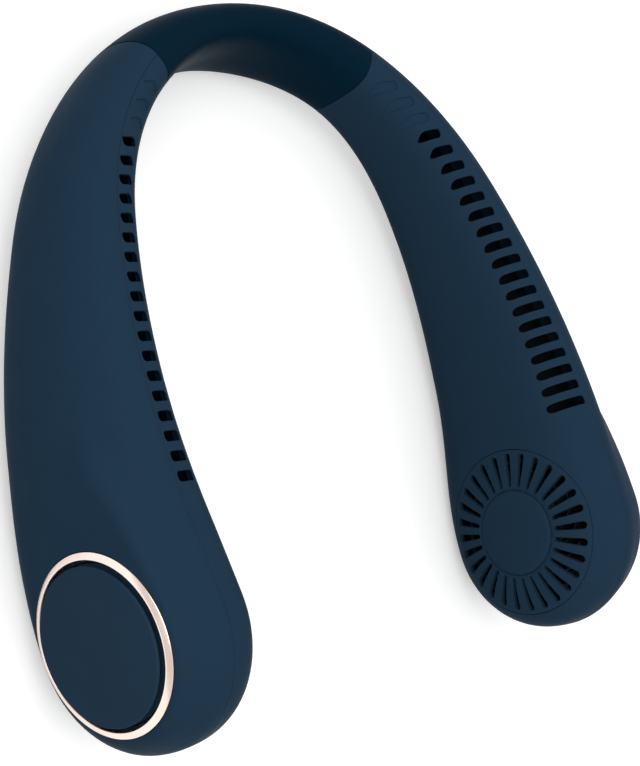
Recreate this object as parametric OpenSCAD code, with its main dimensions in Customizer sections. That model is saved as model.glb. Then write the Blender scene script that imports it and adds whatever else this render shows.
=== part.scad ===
// Neck fan: a soft neck sleeve carries two arms, each with a double-inlet fan at its end.
// The arms are drawn as worn, with their air slots level, and stand() then tilts the whole
// fan back until the nape and both fan ends rest on the ground.

/* [Arm path] */
// Radius of the neck arc, along the middle of the band
neck_r = 84; // [78:0.1:92]
// Angle of the neck arc on each side of the nape
neck_turn = 69.5; // [66:0.5:72]
// Radius of the slower arc along each arm
arm_r = 194.5; // [170:0.5:220]
// Angle of the slower arc
arm_turn = 24.4; // [22:0.1:27]
// Straight run from the slower arc to the fan axis
arm_run = 22.3; // [18:0.1:30]

/* [Band] */
// Thickness of the band at the nape
nape_w = 13.6; // [12.5:0.1:16]
// Thickness a quarter of the way to the fan
shoulder_w = 18.1; // [17:0.1:21]
// Thickness halfway to the fan
waist_w = 23; // [21:0.1:26]
// Thickness three quarters of the way to the fan
fore_w = 28.4; // [27:0.1:31]
// Thickness at the fan
fan_w = 33.2; // [32:0.1:35]
// Height of the band at the nape
nape_h = 30; // [27:0.5:34]
// Height a quarter of the way to the fan
shoulder_h = 26.4; // [25:0.1:31]
// Height halfway to the fan
waist_h = 36.4; // [35:0.1:40]
// Height three quarters of the way to the fan
fore_h = 49.4; // [48:0.1:53]
// Height at the fan, the diameter of the round end
fan_h = 60.2; // [59:0.1:64]
// Squareness of the outer face above the middle, 0 is an ellipse
out_top_square_share = 0.05; // [0:0.01:0.3]
// Squareness of the outer face below the middle
out_low_square_share = 0.23; // [0:0.01:0.3]
// Squareness of the inner face
in_square_share = 0.3; // [0.2:0.01:0.35]

/* [Shells] */
// Wall of the arm shells
wall = 1.8; // [1.4:0.1:2]
// Length of the snap tabs along the seam
snap_l = 6; // [4:0.5:8]
// Thickness of a snap tab
snap_t = 1; // [0.8:0.1:1.2]
// How far a snap tab reaches past the seam
snap_reach = 2; // [1.5:0.1:3]

/* [Neck] */
// Distance from the nape to each end of the sleeve, along the band
sleeve_s = 48; // [44:0.5:50]
// Wall of the sleeve
sleeve_wall = 2.4; // [2:0.1:2.6]
// Length of the plug inside the sleeve
spigot_l = 10; // [8:0.5:12]
// Length of the plug inside the arm
plug_l = 7; // [5:0.5:8]
// Height of the spring strip
strip_h = 9; // [7:0.5:10]
// Thickness of the spring strip
strip_t = 0.8; // [0.6:0.1:1]
// Diameter of the wire bundle
harness_d = 3.2; // [2.6:0.1:3.6]

/* [Air slots] */
// Number of open slots on each arm
slot_count = 18; // [14:1:18]
// Number of blind slots between the open slots and the sleeve
blind_count = 3; // [1:1:3]
// Distance from one slot to the next, from nape to tips
slot_pitch = 5.2; // [4.8:0.1:5.2]
// Width of a slot
slot_w = 2.5; // [2:0.1:2.8]
// Distance of the first open slot from the nape
slot_start = 38; // [37:0.5:42]
// Depth of the blind slots
blind_depth = 0.8; // [0.4:0.1:1]

/* [Fan] */
// Space between the fan housing and the shells round it
housing_gap = 0.5; // [0.4:0.05:0.7]
// Space between the impeller and the scroll at its tongue
tongue_gap = 1.4; // [1:0.1:2]
// Height of the impeller's blades
blade_h = 14; // [10:0.5:14]
// Number of impeller blades
blade_count = 15; // [9:1:19]
// Thickness of a blade
blade_t = 1; // [0.8:0.1:1.2]
// How far the scroll opens over its turn
scroll_growth = 3.8; // [2:0.2:4]
// Thickness of the scroll wall and of the motor plate
scroll_t = 1.2; // [1:0.1:1.4]
// Radius of the motor shaft
shaft_r = 1; // [0.75:0.05:1.25]
// Radius of the motor's stator
stator_r = 7.8; // [7:0.1:8]
// Height of the motor's stator
stator_h = 4.4; // [3.5:0.1:5]
// Number of stator poles
pole_count = 9; // [6:3:12]
// Thickness of the magnet ring round the stator
magnet_t = 1.2; // [1:0.1:1.4]

/* [Grille] */
// Width of the inner shell's rim round the intake grille
grille_rim = 4.9; // [4.5:0.1:5.5]
// Radius of the plain disc in the middle of the grille
disc_r = 12.8; // [12:0.1:14]
// How far the plain disc stands proud
disc_rise = 0.5; // [0.3:0.1:0.8]
// Number of slots in the grille
grille_slots = 28; // [20:1:28]
// Width of a grille slot at its outer end
grille_slot_w = 2.3; // [1.8:0.1:2.5]
// Width of a grille slot at its inner end
grille_slot_in_w = 1.2; // [1:0.1:1.5]

/* [Ring and cap] */
// Width of the outer shell's rim round the trim ring
ring_rim = 7.5; // [7:0.1:8.2]
// Width of the trim ring
ring_w = 1.7; // [1.5:0.1:2]
// Depth of the ring's inner edge below the crown of the band
ring_drop = 1.5; // [1:0.1:2.5]
// Height of the ring's sloping face
ring_slope = 0.9; // [0.4:0.1:1.2]
// Gap between the cap and the ring
cap_gap = 0.8; // [0.6:0.1:1.2]
// Depth of the cap's rim below the crown of the band
cap_drop = 0.6; // [0.2:0.1:1]
// Thickness of the cap
cap_t = 1.6; // [1.2:0.1:2]

/* [Controls] */
// Distance of the power button from the fan housing, along the right arm
button_back = 32.4; // [30:0.2:34]
// How far the controls lie below the middle of the band
button_low = 8.9; // [7:0.1:9.5]
// Radius of the power button
button_r = 4.6; // [4:0.1:5]
// Travel of the power button
button_travel = 0.6; // [0.4:0.1:0.7]
// Number of charge lights
light_count = 4; // [3:1:4]
// Length of the main board
board_l = 40; // [36:1:42]
// Height of the main board
board_h = 17; // [15:0.5:18]

/* [Battery] */
// Length of each battery
battery_l = 42; // [36:1:44]
// Thickness of each battery
battery_t = 8; // [6:0.2:8.4]
// Space round each battery
battery_gap = 1; // [0.6:0.1:1.5]

/* [Clearances] */
// Gap between pieces that move apart
gap = 0.3; // [0.25:0.05:0.35]
// Gap between pieces that are fixed together
seat_gap = 0.15; // [0.1:0.05:0.2]
// Radial clearance of a shaft in its bearing
run_gap = 0.04; // [0.02:0.01:0.08]

/* [Hidden] */
navy = [0.14, 0.21, 0.28];
dark_navy = [0.07, 0.14, 0.2];
black = [0.03, 0.03, 0.035];
rose_gold = [0.8, 0.6, 0.52];
steel = [0.62, 0.63, 0.65];
bronze = [0.6, 0.42, 0.22];
copper = [0.72, 0.4, 0.2];
board_green = [0.05, 0.22, 0.12];
silver = [0.75, 0.76, 0.78];
clear = [0.85, 0.9, 0.95];

// Overrun of every cut
over = 1;
// Facets of a full turn: of round pieces, of the openings in a shell, and of small cutters
round_fn = 96;
hole_fn = 72;
cut_fn = 24;
slot_fn = 12;

// Path of the band's middle, seen from above: s runs from the nape to the fan axis
half_turn = 180;
s_neck = neck_r * neck_turn * PI / half_turn;
s_arm = s_neck + arm_r * arm_turn * PI / half_turn;
s_fan = s_arm + arm_run;
end_turn = neck_turn + arm_turn;
function turn_of(length, radius) = length / radius * half_turn / PI;
function heading(s) =
    s < 0 ? -heading(-s) :
    s <= s_neck ? turn_of(s, neck_r) :
    s <= s_arm ? neck_turn + turn_of(s - s_neck, arm_r) : end_turn;
function arc_step(radius, from, to) = radius * [sin(to) - sin(from), cos(to) - cos(from)];
neck_end = arc_step(neck_r, 0, neck_turn);
arm_end = neck_end + arc_step(arm_r, neck_turn, end_turn);
function path(s) =
    s < 0 ? let (p = path(-s)) [-p.x, p.y] :
    s <= s_neck ? arc_step(neck_r, 0, heading(s)) :
    s <= s_arm ? neck_end + arc_step(arm_r, neck_turn, heading(s)) :
    arm_end + (s - s_arm) * forward(s);
function forward(s) = [cos(heading(s)), -sin(heading(s))];
function outward(s) = [sin(heading(s)), cos(heading(s))];
// Where the path is at a given distance in front of the nape
function s_at(y) =
    -y < -neck_end.y ? neck_r * acos(1 - y / -neck_r) * PI / half_turn :
    -y < -arm_end.y ?
        s_neck + arm_r * (acos(cos(neck_turn) + (y - neck_end.y) / arm_r) - neck_turn) * PI / half_turn :
        s_arm + (arm_end.y - y) / sin(end_turn);

// Sizes of the band between its five stations, as a smooth curve through them
function slope(list, i) = i == 0 || i == len(list) - 1 ? 0 : (list[i + 1] - list[i - 1]) / 2;
function smooth(list, share) =
    let (x = max(0, min(share, 1)) * (len(list) - 1), i = min(floor(x), len(list) - 2), t = x - i)
    (2 * t ^ 3 - 3 * t ^ 2 + 1) * list[i] + (t ^ 3 - 2 * t ^ 2 + t) * slope(list, i)
    + (3 * t ^ 2 - 2 * t ^ 3) * list[i + 1] + (t ^ 3 - t ^ 2) * slope(list, i + 1);
widths = [nape_w, shoulder_w, waist_w, fore_w, fan_w];
heights = [nape_h, shoulder_h, waist_h, fore_h, fan_h];
function band_w(s) = smooth(widths, abs(s) / s_fan);
function band_h(s) = smooth(heights, abs(s) / s_fan);
// The band's top edge is level, so its middle lies half a height below
function mid_up(s) = -band_h(s) / 2;

// Power of the curve at a share of the half height, on the outer (side 1) or inner (side -1)
// face. The outer face's squareness eases from the lower to the upper value across the middle
round_ease_share = 0.35;
function ease(x) = let (t = max(0, min(x, 1))) 3 * t ^ 2 - 2 * t ^ 3;
function power_of(square_share) = 2 / (1 - square_share);
function round_of(side, share) =
    power_of(
        side < 0 ? in_square_share :
        out_low_square_share
        + (out_top_square_share - out_low_square_share) * ease((1 + share / round_ease_share) / 2)
    );
// Half the thickness at share r of the half height, and the other way round
function bulge(half, r, power) = half * (1 - min(r, 1) ^ power) ^ (1 / power);
function face_out(s, up, side, inset = 0) =
    let (share = up / (band_h(s) / 2 - inset))
    bulge(band_w(s) / 2 - inset, abs(share), round_of(side, share));
// Height of the skin's lower edge at a distance from the middle of the band
function face_up(s, out, inset = 0) =
    mid_up(s) - bulge(band_h(s) / 2 - inset, out / (band_w(s) / 2 - inset), power_of(out_low_square_share));

// A point of the band's skin: station [s, end angle], side of the band, angle round the section.
// The spread share sets the points evenly along a rounded section
section_spread_share = 0.75;
function skin(station, side, angle, inset) =
    let (
        s = station[0],
        half_h = band_h(s) / 2 - inset,
        rise = cos(station[1]) * sign(sin(angle)) * abs(sin(angle)) ^ section_spread_share,
        reach = sin(station[1]),
        out = side * bulge(band_w(s) / 2 - inset, norm([reach, rise]), round_of(side, rise)),
        p = path(s) + half_h * reach * forward(s) + out * outward(s)
    )
    [p.x, p.y, half_h * rise + mid_up(s)];

// Stations of an arm, from the sleeve to just short of the tip
arm_steps = 22;
end_steps = 8;
arc_steps = 12;
arm_start = sleeve_s + gap / 2;
arm_stations = concat(
    [for (i = [0 : arm_steps]) [arm_start + (s_fan - arm_start) * i / arm_steps, 0]],
    [for (i = [1 : end_steps - 1]) [s_fan, 90 * i / end_steps]]
);
function arc_angles(steps) = [for (j = [0 : steps]) 90 - half_turn * j / steps];

// How far the fan leans back to rest on its nape and both fan ends
section_angles = [for (j = [0 : 2 * arc_steps]) half_turn * j / arc_steps];
nape_ring = [for (a = section_angles) skin([0, 0], cos(a) < 0 ? -1 : 1, a, 0)];
arm_skin = [
    for (station = arm_stations, side = [-1, 1], a = arc_angles(arc_steps)) skin(station, side, a, 0)
];
function leaned(p, lean) = [p.x, p.y * cos(lean) + p.z * sin(lean), p.z * cos(lean) - p.y * sin(lean)];
function lowest(points, lean) = min([for (p = points) leaned(p, lean).z]);
function rest_lean(low, high, steps) =
    let (mid = (low + high) / 2)
    steps < 1 ? mid :
    lowest(arm_skin, mid) < lowest(nape_ring, mid) ?
        rest_lean(mid, high, steps - 1) : rest_lean(low, mid, steps - 1);
lean_limit_angle = 30;
lean_steps = 24;
lean = rest_lean(0, lean_limit_angle, lean_steps);
ground = lowest(concat(nape_ring, arm_skin), lean);
tip_y = min([for (p = arm_skin) leaned(p, lean).y]);
nape_y = max([for (p = nape_ring) leaned(p, lean).y]);
module stand() {
    translate([0, -(tip_y + nape_y) / 2, -ground])
        rotate([-lean, 0, 0])
            children();
}
module left() {
    stand()
        mirror([1, 0, 0])
            children();
}

// Places children on the band: x forward to the tip, y outward, z up
module on_band(s, out = 0, up = 0) {
    translate([path(s).x, path(s).y, up])
        rotate([0, 0, -heading(s)])
            translate([0, out, 0])
                children();
}
// Places children on the fan axis: z outward, x forward to the tip, y down
module on_axis(out = 0) {
    on_band(s_fan, out, mid_up(s_fan))
        rotate([-90, 0, 0])
            children();
}
// Places children on the neck's centre, for anything that follows the neck arc
module on_neck() {
    translate([0, -neck_r, 0])
        children();
}
module neck_arc(from_s, to_s) {
    on_neck()
        rotate([0, 0, 90 - turn_of(to_s, neck_r)])
            rotate_extrude(angle = turn_of(to_s - from_s, neck_r), $fn = 2 * round_fn)
                translate([neck_r, 0])
                    children();
}

// Triangles that join one closed loop of points per station
function ring_faces(rings, n) = [
    for (i = [0 : rings - 2], j = [0 : n - 1])
        let (a = i * n + j, b = i * n + (j + 1) % n)
            [[a, b + n, b], [a, a + n, b + n]]
];
function flat(list) = [for (part = list, item = part) item];
// Solid between closed sections, each step [s, 0, inset]
module loft(steps) {
    n = 2 * arc_steps;
    points = [
        for (step = steps, j = [0 : n - 1])
            let (a = half_turn * j / arc_steps) skin(step, cos(a) < 0 ? -1 : 1, a, step[2])
    ];
    last = (len(steps) - 1) * n;
    polyhedron(points, concat(
        flat(ring_faces(len(steps), n)),
        [[for (j = [0 : n - 1]) j], [for (j = [n - 1 : -1 : 0]) last + j]]
    ));
}

// Half of an arm's skin, open along the middle of the band, closed round the tip
module half_shell(side) {
    angles = arc_angles(arc_steps);
    n = 2 * len(angles);
    rings = len(arm_stations);
    points = concat(
        [
            for (station = arm_stations)
                each concat(
                    [for (a = angles) skin(station, side, a, 0)],
                    [for (j = [len(angles) - 1 : -1 : 0]) skin(station, side, angles[j], wall)]
                )
        ],
        [skin([s_fan, 90], side, 0, 0), skin([s_fan, 90], side, 0, wall)]
    );
    last = (rings - 1) * n;
    tip = rings * n;
    half = n / 2;
    start_faces = [for (j = [0 : half - 2]) each [[j, j + 1, n - 1 - j], [n - 1 - j, j + 1, n - 2 - j]]];
    tip_faces = [
        for (j = [0 : half - 2])
            each [[last + j + 1, last + j, tip], [last + half + j + 1, last + half + j, tip + 1]]
    ];
    rim_faces = [
        [last + half, last + half - 1, tip + 1], [tip + 1, last + half - 1, tip],
        [last, last + n - 1, tip], [tip, last + n - 1, tip + 1]
    ];
    faces = concat(flat(ring_faces(rings, n)), start_faces, tip_faces, rim_faces);
    polyhedron(points, side > 0 ? [for (f = faces) [f[2], f[1], f[0]]] : faces);
}

// The soft sleeve over the nape, a tube that ends just short of each arm
module neck_sleeve() {
    color(dark_navy)
        stand()
            sleeve_tube();
}
sleeve_end = sleeve_s - gap / 2;
sleeve_steps = 18;
module sleeve_tube() {
    n = 2 * arc_steps;
    stations = [for (i = [0 : sleeve_steps]) [sleeve_end * (2 * i / sleeve_steps - 1), 0]];
    rings = len(stations);
    function loop(inset) = [
        for (station = stations, j = [0 : n - 1])
            let (a = half_turn * j / arc_steps) skin(station, cos(a) < 0 ? -1 : 1, a, inset)
    ];
    outer = flat(ring_faces(rings, n));
    start = rings * n;
    last = (rings - 1) * n;
    ends = [for (j = [0 : n - 1]) let (k = (j + 1) % n) each [
        [j, k, start + j], [start + j, k, start + k],
        [last + k, last + j, start + last + k], [start + last + k, last + j, start + last + j]
    ]];
    polyhedron(concat(loop(0), loop(sleeve_wall)),
        concat(outer, [for (f = outer) [f[2], f[1], f[0]] + [start, start, start]], ends));
}

// The spring strip and the wire bundle follow the neck arc inside the sleeve
strip_up = -shoulder_h / 2;
strip_reach = sleeve_s + plug_l / 2;
harness_up = strip_up - strip_h / 2 - gap - harness_d / 2;
harness_reach = sleeve_s + plug_l + harness_d;
module neck_spring_strip() {
    color(steel)
        stand()
            neck_arc(-strip_reach, strip_reach)
                translate([-strip_t / 2, strip_up - strip_h / 2])
                    square([strip_t, strip_h]);
}
module neck_harness() {
    color(black)
        stand()
            neck_arc(-harness_reach, harness_reach)
                translate([0, harness_up])
                    circle(d = harness_d, $fn = cut_fn);
}

// A plug in the arm's end, with a spigot inside the sleeve. Its passages are straight, so they
// are wider than what follows the neck arc through them by the arc's sagitta over the plug
plug_span = spigot_l + plug_l;
plug_sagitta = plug_span ^ 2 / neck_r / 8;
module plug_passage(w, h, up) {
    on_band(sleeve_s + (plug_l - spigot_l) / 2, 0, up)
        translate([-plug_span, -w / 2 - gap - plug_sagitta, -h / 2 - gap])
            cube([2 * plug_span, w + 2 * gap + 2 * plug_sagitta, h + 2 * gap]);
}
module neck_plug() {
    spigot = sleeve_wall + gap;
    body = wall + seat_gap;
    difference() {
        loft([
            [sleeve_s - spigot_l, 0, spigot], [sleeve_s - spigot_l / 2, 0, spigot], [arm_start, 0, spigot],
            [arm_start, 0, body], [sleeve_s + plug_l / 2, 0, body], [sleeve_s + plug_l, 0, body]
        ]);
        plug_passage(strip_t, strip_h, strip_up);
        plug_passage(harness_d, harness_d, harness_up);
    }
}
module left_neck_plug() { color(black) left() neck_plug(); }
module right_neck_plug() { color(black) stand() neck_plug(); }

// A snap tab hangs under the top of the wall and reaches past the seam
module snap_tab() {
    translate([-snap_l / 2, seat_gap, -wall - gap - snap_t])
        cube([snap_l, 3 * snap_t, snap_t + gap + wall / 2]);
    hull() {
        translate([-snap_l / 2, 0, -wall - gap - snap_t])
            cube([snap_l, 2 * snap_t, snap_t]);
        translate([-snap_l / 2 + snap_t, -snap_reach, -wall - gap - snap_t])
            cube([snap_l - 2 * snap_t, snap_t, snap_t / 2]);
    }
}
top_tab_shares = [0.1, 0.93];
low_tab_shares = [0.1, 0.3, 0.55, 0.9];
tip_tab_turns = [-40, 40];
function low_slope(s) = atan((band_h(s + over) - band_h(s - over)) / (2 * over));
module snap_tabs() {
    for (share = top_tab_shares)
        on_band(arm_start + share * (s_fan - arm_start))
            snap_tab();
    for (share = low_tab_shares) {
        s = arm_start + share * (s_fan - arm_start);
        on_band(s, 0, -band_h(s))
            rotate([0, low_slope(s), 0])
                mirror([0, 0, 1])
                    snap_tab();
    }
    for (turn = tip_tab_turns)
        on_axis()
            rotate([0, 0, turn])
                translate([fan_h / 2, 0, 0])
                    rotate([90, 0, 90])
                        snap_tab();
}

// The outer shell carries the ring and cap, and on the right arm the controls
module outer_shell() {
    difference() {
        union() {
            half_shell(1);
            snap_tabs();
        }
        on_axis(wall)
            cylinder(r = ring_r + seat_gap, h = fan_w, $fn = hole_fn);
    }
}
module left_outer_shell() { color(navy) left() outer_shell(); }
module right_outer_shell() {
    color(navy)
        stand()
            difference() {
                outer_shell();
                button_hole();
                light_holes();
                usb_mouth();
            }
}

// The inner shell has the air slots along its top and the grille's opening
slot_reach = 14;
slot_in_shares = [0.63, 0.89];
slot_out_shares = [0.18, 0.05];
function share_of(pair, i) = pair[0] + (pair[1] - pair[0]) * i / (slot_count - 1);
module slot_cut(i, floor_up) {
    y = -slot_start - i * slot_pitch;
    s = s_at(y);
    half = band_w(s) / 2 / sin(heading(s));
    hull()
        for (x = [
            path(s).x - share_of(slot_in_shares, i) * half + slot_w / 2,
            path(s).x - share_of(slot_out_shares, i) * half - slot_w / 2
        ])
            translate([x, y, floor_up])
                cylinder(d = slot_w, h = over - floor_up, $fn = slot_fn);
}
// A blind slot keeps the skin's slope, so its cutter is a thin slice of the skin
module blind_slot(i) {
    s = s_at(-slot_start - i * slot_pitch);
    middle = (share_of(slot_in_shares, i) + share_of(slot_out_shares, i)) / 2;
    top = mid_up(s) + bulge(band_h(s) / 2, middle, power_of(in_square_share));
    slot_cut(i, top - blind_depth);
}
module inner_shell() {
    difference() {
        half_shell(-1);
        for (i = [0 : slot_count - 1])
            slot_cut(i, -slot_reach);
        for (i = [1 : blind_count])
            blind_slot(-i);
        on_axis(-fan_w - wall)
            cylinder(r = grille_r + seat_gap, h = fan_w, $fn = hole_fn);
    }
}
module left_inner_shell() { color(navy) left() inner_shell(); }
module right_inner_shell() { color(navy) stand() inner_shell(); }

// The intake grille carries on the inner shell's skin, with radial slots round a plain disc
grille_steps = 4;
grille_facets = 36;
grille_slot_fn = 8;
grille_r = fan_h / 2 - grille_rim;
grille_slot_start = disc_r + grille_slot_w / 2;
grille_slot_end = grille_r - grille_slot_w / 2;
// Depth of the inner skin beside the fan axis, at a distance forward and up from it
function grille_out(along, up, inset) =
    let (
        s = s_fan + min(along, 0),
        half_h = band_h(s) / 2 - inset,
        share = norm([max(along, 0), up + mid_up(s_fan) - mid_up(s)]) / half_h
    )
    bulge(band_w(s) / 2 - inset, share, power_of(in_square_share));
module grille_plate() {
    n = grille_facets;
    function face(inset) = [
        for (i = [1 : grille_steps], j = [0 : n - 1])
            let (r = grille_r * i / grille_steps, a = 360 * j / n)
            [r * cos(a), r * sin(a), -grille_out(r * cos(a), -r * sin(a), inset)]
    ];
    size = grille_steps * n;
    rim = size - n;
    front = concat(
        flat(ring_faces(grille_steps, n)),
        [for (j = [0 : n - 1]) [2 * size, j, (j + 1) % n]]
    );
    back = [for (f = front) f[0] == 2 * size ?
        [2 * size + 1, f[2] + size, f[1] + size] : [f[2] + size, f[1] + size, f[0] + size]];
    edge = [for (j = [0 : n - 1]) let (k = (j + 1) % n) each [
        [rim + k, rim + j, rim + size + j], [rim + k, rim + size + j, rim + size + k]
    ]];
    polyhedron(
        concat(face(0), face(wall), [[0, 0, -grille_out(0, 0, 0)], [0, 0, -grille_out(0, 0, wall)]]),
        concat(front, back, edge)
    );
}
module grille_disc() {
    translate([0, 0, -fan_w / 2 - disc_rise])
        cylinder(r1 = disc_r - disc_rise / 2, r2 = disc_r, h = disc_rise / 2, $fn = grille_facets);
    translate([0, 0, -fan_w / 2 - disc_rise / 2])
        cylinder(r = disc_r, h = disc_rise / 2 + wall, $fn = grille_facets);
}
module grille_slot() {
    hull() {
        translate([grille_slot_end - grille_slot_w / 2, 0, -fan_w])
            cylinder(d = grille_slot_w, h = fan_w, $fn = grille_slot_fn);
        translate([grille_slot_start + grille_slot_in_w / 2, 0, -fan_w])
            cylinder(d = grille_slot_in_w, h = fan_w, $fn = grille_slot_fn);
    }
}
module intake_grille() {
    on_axis()
        difference() {
            union() {
                grille_plate();
                grille_disc();
            }
            for (i = [0 : grille_slots - 1])
                rotate([0, 0, 360 * i / grille_slots])
                    grille_slot();
        }
}
module left_intake_grille() { color(navy) left() intake_grille(); }
module right_intake_grille() { color(navy) stand() intake_grille(); }

// The fan housing is a motor plate with spokes and a scroll wall round the impeller
plate_out = 5;
plate_face = plate_out + scroll_t;
scroll_start_angle = 236;
scroll_turn = 326;
scroll_steps = 40;
// The housing fits the outer shell at the face of its plate, and the inner shell at its low rim
shell_h = fan_h / 2 - wall;
shell_w = fan_w / 2 - wall;
housing_r = bulge(shell_h, plate_face / shell_w, power_of(out_top_square_share)) - housing_gap;
scroll_top = housing_r - scroll_t;
scroll_exit = scroll_top;
scroll_r = scroll_top - scroll_growth;
scroll_depth = plate_out + face_out(s_fan, housing_r, -1, wall) - housing_gap;
impeller_r = scroll_r - tongue_gap;
spoke_w = 2.2;
spoke_count = 6;
eye_r = impeller_r + gap;
motor_seat_r = 9;
function scroll_point(i, extra) =
    let (
        share = i / scroll_steps,
        a = scroll_start_angle - scroll_turn * share,
        r = scroll_r + scroll_growth * share + extra
    )
    [r * cos(a), r * sin(a)];
module scroll_outline(extra) {
    polygon(concat(
        [for (i = [0 : scroll_steps]) scroll_point(i, extra)],
        [[-scroll_exit, -scroll_top - extra], [-scroll_exit, scroll_point(0, 0).y]]
    ));
}
module scroll_wall() {
    polygon(concat(
        [for (i = [0 : scroll_steps]) scroll_point(i, scroll_t)],
        [[-scroll_exit, -scroll_top - scroll_t], [-scroll_exit, -scroll_top]],
        [for (i = [scroll_steps : -1 : 0]) scroll_point(i, 0)]
    ));
}
module spoke_gaps() {
    difference() {
        circle(r = eye_r, $fn = round_fn);
        circle(r = motor_seat_r, $fn = round_fn);
        for (i = [0 : spoke_count - 1])
            rotate([0, 0, 360 * i / spoke_count])
                translate([0, -spoke_w / 2])
                    square([eye_r + over, spoke_w]);
    }
}
module fan_housing() {
    on_axis(plate_out)
        difference() {
            union() {
                linear_extrude(scroll_t)
                    scroll_outline(scroll_t);
                translate([0, 0, -scroll_depth])
                    linear_extrude(scroll_depth + scroll_t / 2)
                        scroll_wall();
            }
            translate([0, 0, -over])
                linear_extrude(scroll_t + 2 * over)
                    spoke_gaps();
            translate([0, 0, -over])
                cylinder(r = bearing_r + seat_gap, h = scroll_t + 2 * over, $fn = round_fn);
            motor_screw_places()
                translate([0, 0, -over])
                    cylinder(r = screw_r + seat_gap, h = scroll_t + 2 * over, $fn = cut_fn);
        }
}
module left_fan_housing() { color(black) left() fan_housing(); }
module right_fan_housing() { color(black) stand() fan_housing(); }

// Three small screws hold the motor base to the plate
screw_count = 3;
screw_ring_r = 6.2;
screw_r = 0.8;
screw_head_r = 1.5;
screw_head_t = 0.9;
screw_l = 2.2;
module motor_screw_places() {
    for (i = [0 : screw_count - 1])
        rotate([0, 0, 360 * (i + 0.5) / screw_count])
            translate([screw_ring_r, 0, 0])
                children();
}
module motor_screws() {
    on_axis(plate_face)
        motor_screw_places() {
            translate([0, 0, -screw_l])
                cylinder(r = screw_r, h = screw_l, $fn = cut_fn);
            difference() {
                cylinder(r = screw_head_r, h = screw_head_t, $fn = cut_fn);
                translate([0, 0, screw_head_t / 2])
                    cylinder(r = screw_r, h = screw_head_t, $fn = 6);
            }
        }
}
module left_motor_screws() { color(steel) left() motor_screws(); }
module right_motor_screws() { color(steel) stand() motor_screws(); }

// The motor: a board on the plate, a bearing tube, a wound stator, and a cup that turns round it
bearing_r = 2.6;
bearing_l = 9.8;
base_r = 8.6;
base_t = 0.8;
base_face = plate_out - seat_gap - base_t;
cup_t = 0.6;
magnet_r = stator_r + gap + magnet_t;
cup_r = magnet_r + seat_gap + cup_t;
hub_r = cup_r + seat_gap + blade_t;
cup_low = -6.4;
cup_top = base_face - gap - cup_t;
stator_low = base_face - gap - stator_h;
magnet_low = stator_low - cup_t;
magnet_h = cup_top - magnet_low;
module motor_base() {
    on_axis(base_face)
        difference() {
            cylinder(r = base_r, h = base_t, $fn = round_fn);
            translate([0, 0, -over])
                cylinder(r = bearing_r + seat_gap, h = base_t + 2 * over, $fn = round_fn);
            motor_screw_places()
                translate([0, 0, -over])
                    cylinder(r = screw_r + seat_gap, h = base_t + 2 * over, $fn = cut_fn);
        }
}
module left_motor_base() { color(board_green) left() motor_base(); }
module right_motor_base() { color(board_green) stand() motor_base(); }

module bearing() {
    on_axis(plate_face - bearing_l)
        difference() {
            cylinder(r = bearing_r, h = bearing_l, $fn = round_fn);
            translate([0, 0, -over])
                cylinder(r = shaft_r + run_gap, h = bearing_l + 2 * over, $fn = round_fn);
        }
}
module left_bearing() { color(bronze) left() bearing(); }
module right_bearing() { color(bronze) stand() bearing(); }

pole_w = stator_r / pole_count * 2;
pole_shoe_t = 1.2;
core_r = 4.6;
module stator() {
    on_axis(stator_low)
        difference() {
            cylinder(r = stator_r, h = stator_h, $fn = round_fn);
            translate([0, 0, -over])
                cylinder(r = bearing_r + seat_gap, h = stator_h + 2 * over, $fn = round_fn);
            for (i = [0 : pole_count - 1])
                rotate([0, 0, 360 * i / pole_count])
                    translate([0, 0, -over])
                        linear_extrude(stator_h + 2 * over) {
                            polygon([
                                [core_r, -pole_w / 4], [stator_r - pole_shoe_t, -pole_w * 0.8],
                                [stator_r - pole_shoe_t, pole_w * 0.8], [core_r, pole_w / 4]
                            ]);
                            translate([core_r, -pole_w / 8])
                                square([stator_r, pole_w / 4]);
                        }
        }
}
module left_stator() { color(copper) left() stator(); }
module right_stator() { color(copper) stand() stator(); }

// The turning pieces: impeller, steel cup, magnet ring and shaft
blade_low = plate_out - 2 * gap - blade_h;
web_t = 1;
hub_low = cup_low - seat_gap - web_t;
blade_angle = 38;
blade_steps = 6;
blade_inner_r = hub_r - blade_t / 2;
function blade_point(i, shift) =
    let (
        share = i / blade_steps,
        r = blade_inner_r + (impeller_r - blade_inner_r) * share,
        a = -blade_angle * share ^ 1.4
    )
    [r * cos(a), r * sin(a)] + shift * [-sin(a), cos(a)];
module impeller() {
    on_axis() {
        translate([0, 0, blade_low])
            linear_extrude(blade_h)
                for (i = [0 : blade_count - 1])
                    rotate([0, 0, 360 * i / blade_count])
                        polygon(concat(
                            [for (j = [0 : blade_steps]) blade_point(j, -blade_t / 2)],
                            [for (j = [blade_steps : -1 : 0]) blade_point(j, blade_t / 2)]
                        ));
        rotate_extrude($fn = round_fn)
            polygon([
                [shaft_r + seat_gap, hub_low], [hub_r - web_t, hub_low],
                [hub_r, hub_low + web_t], [hub_r, -web_t],
                [impeller_r, -web_t / 2], [impeller_r, web_t / 2],
                [hub_r, web_t], [hub_r, cup_top], [hub_r - blade_t, cup_top],
                [hub_r - blade_t, hub_low + web_t], [shaft_r + seat_gap, hub_low + web_t]
            ]);
    }
}
module left_impeller() { color(black) left() impeller(); }
module right_impeller() { color(black) stand() impeller(); }

module rotor_cup() {
    on_axis()
        rotate_extrude($fn = round_fn)
            polygon([
                [shaft_r + seat_gap, cup_low], [cup_r, cup_low], [cup_r, cup_top], [cup_r - cup_t, cup_top],
                [cup_r - cup_t, cup_low + cup_t], [shaft_r + seat_gap, cup_low + cup_t]
            ]);
}
module left_rotor_cup() { color(steel) left() rotor_cup(); }
module right_rotor_cup() { color(steel) stand() rotor_cup(); }

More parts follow.
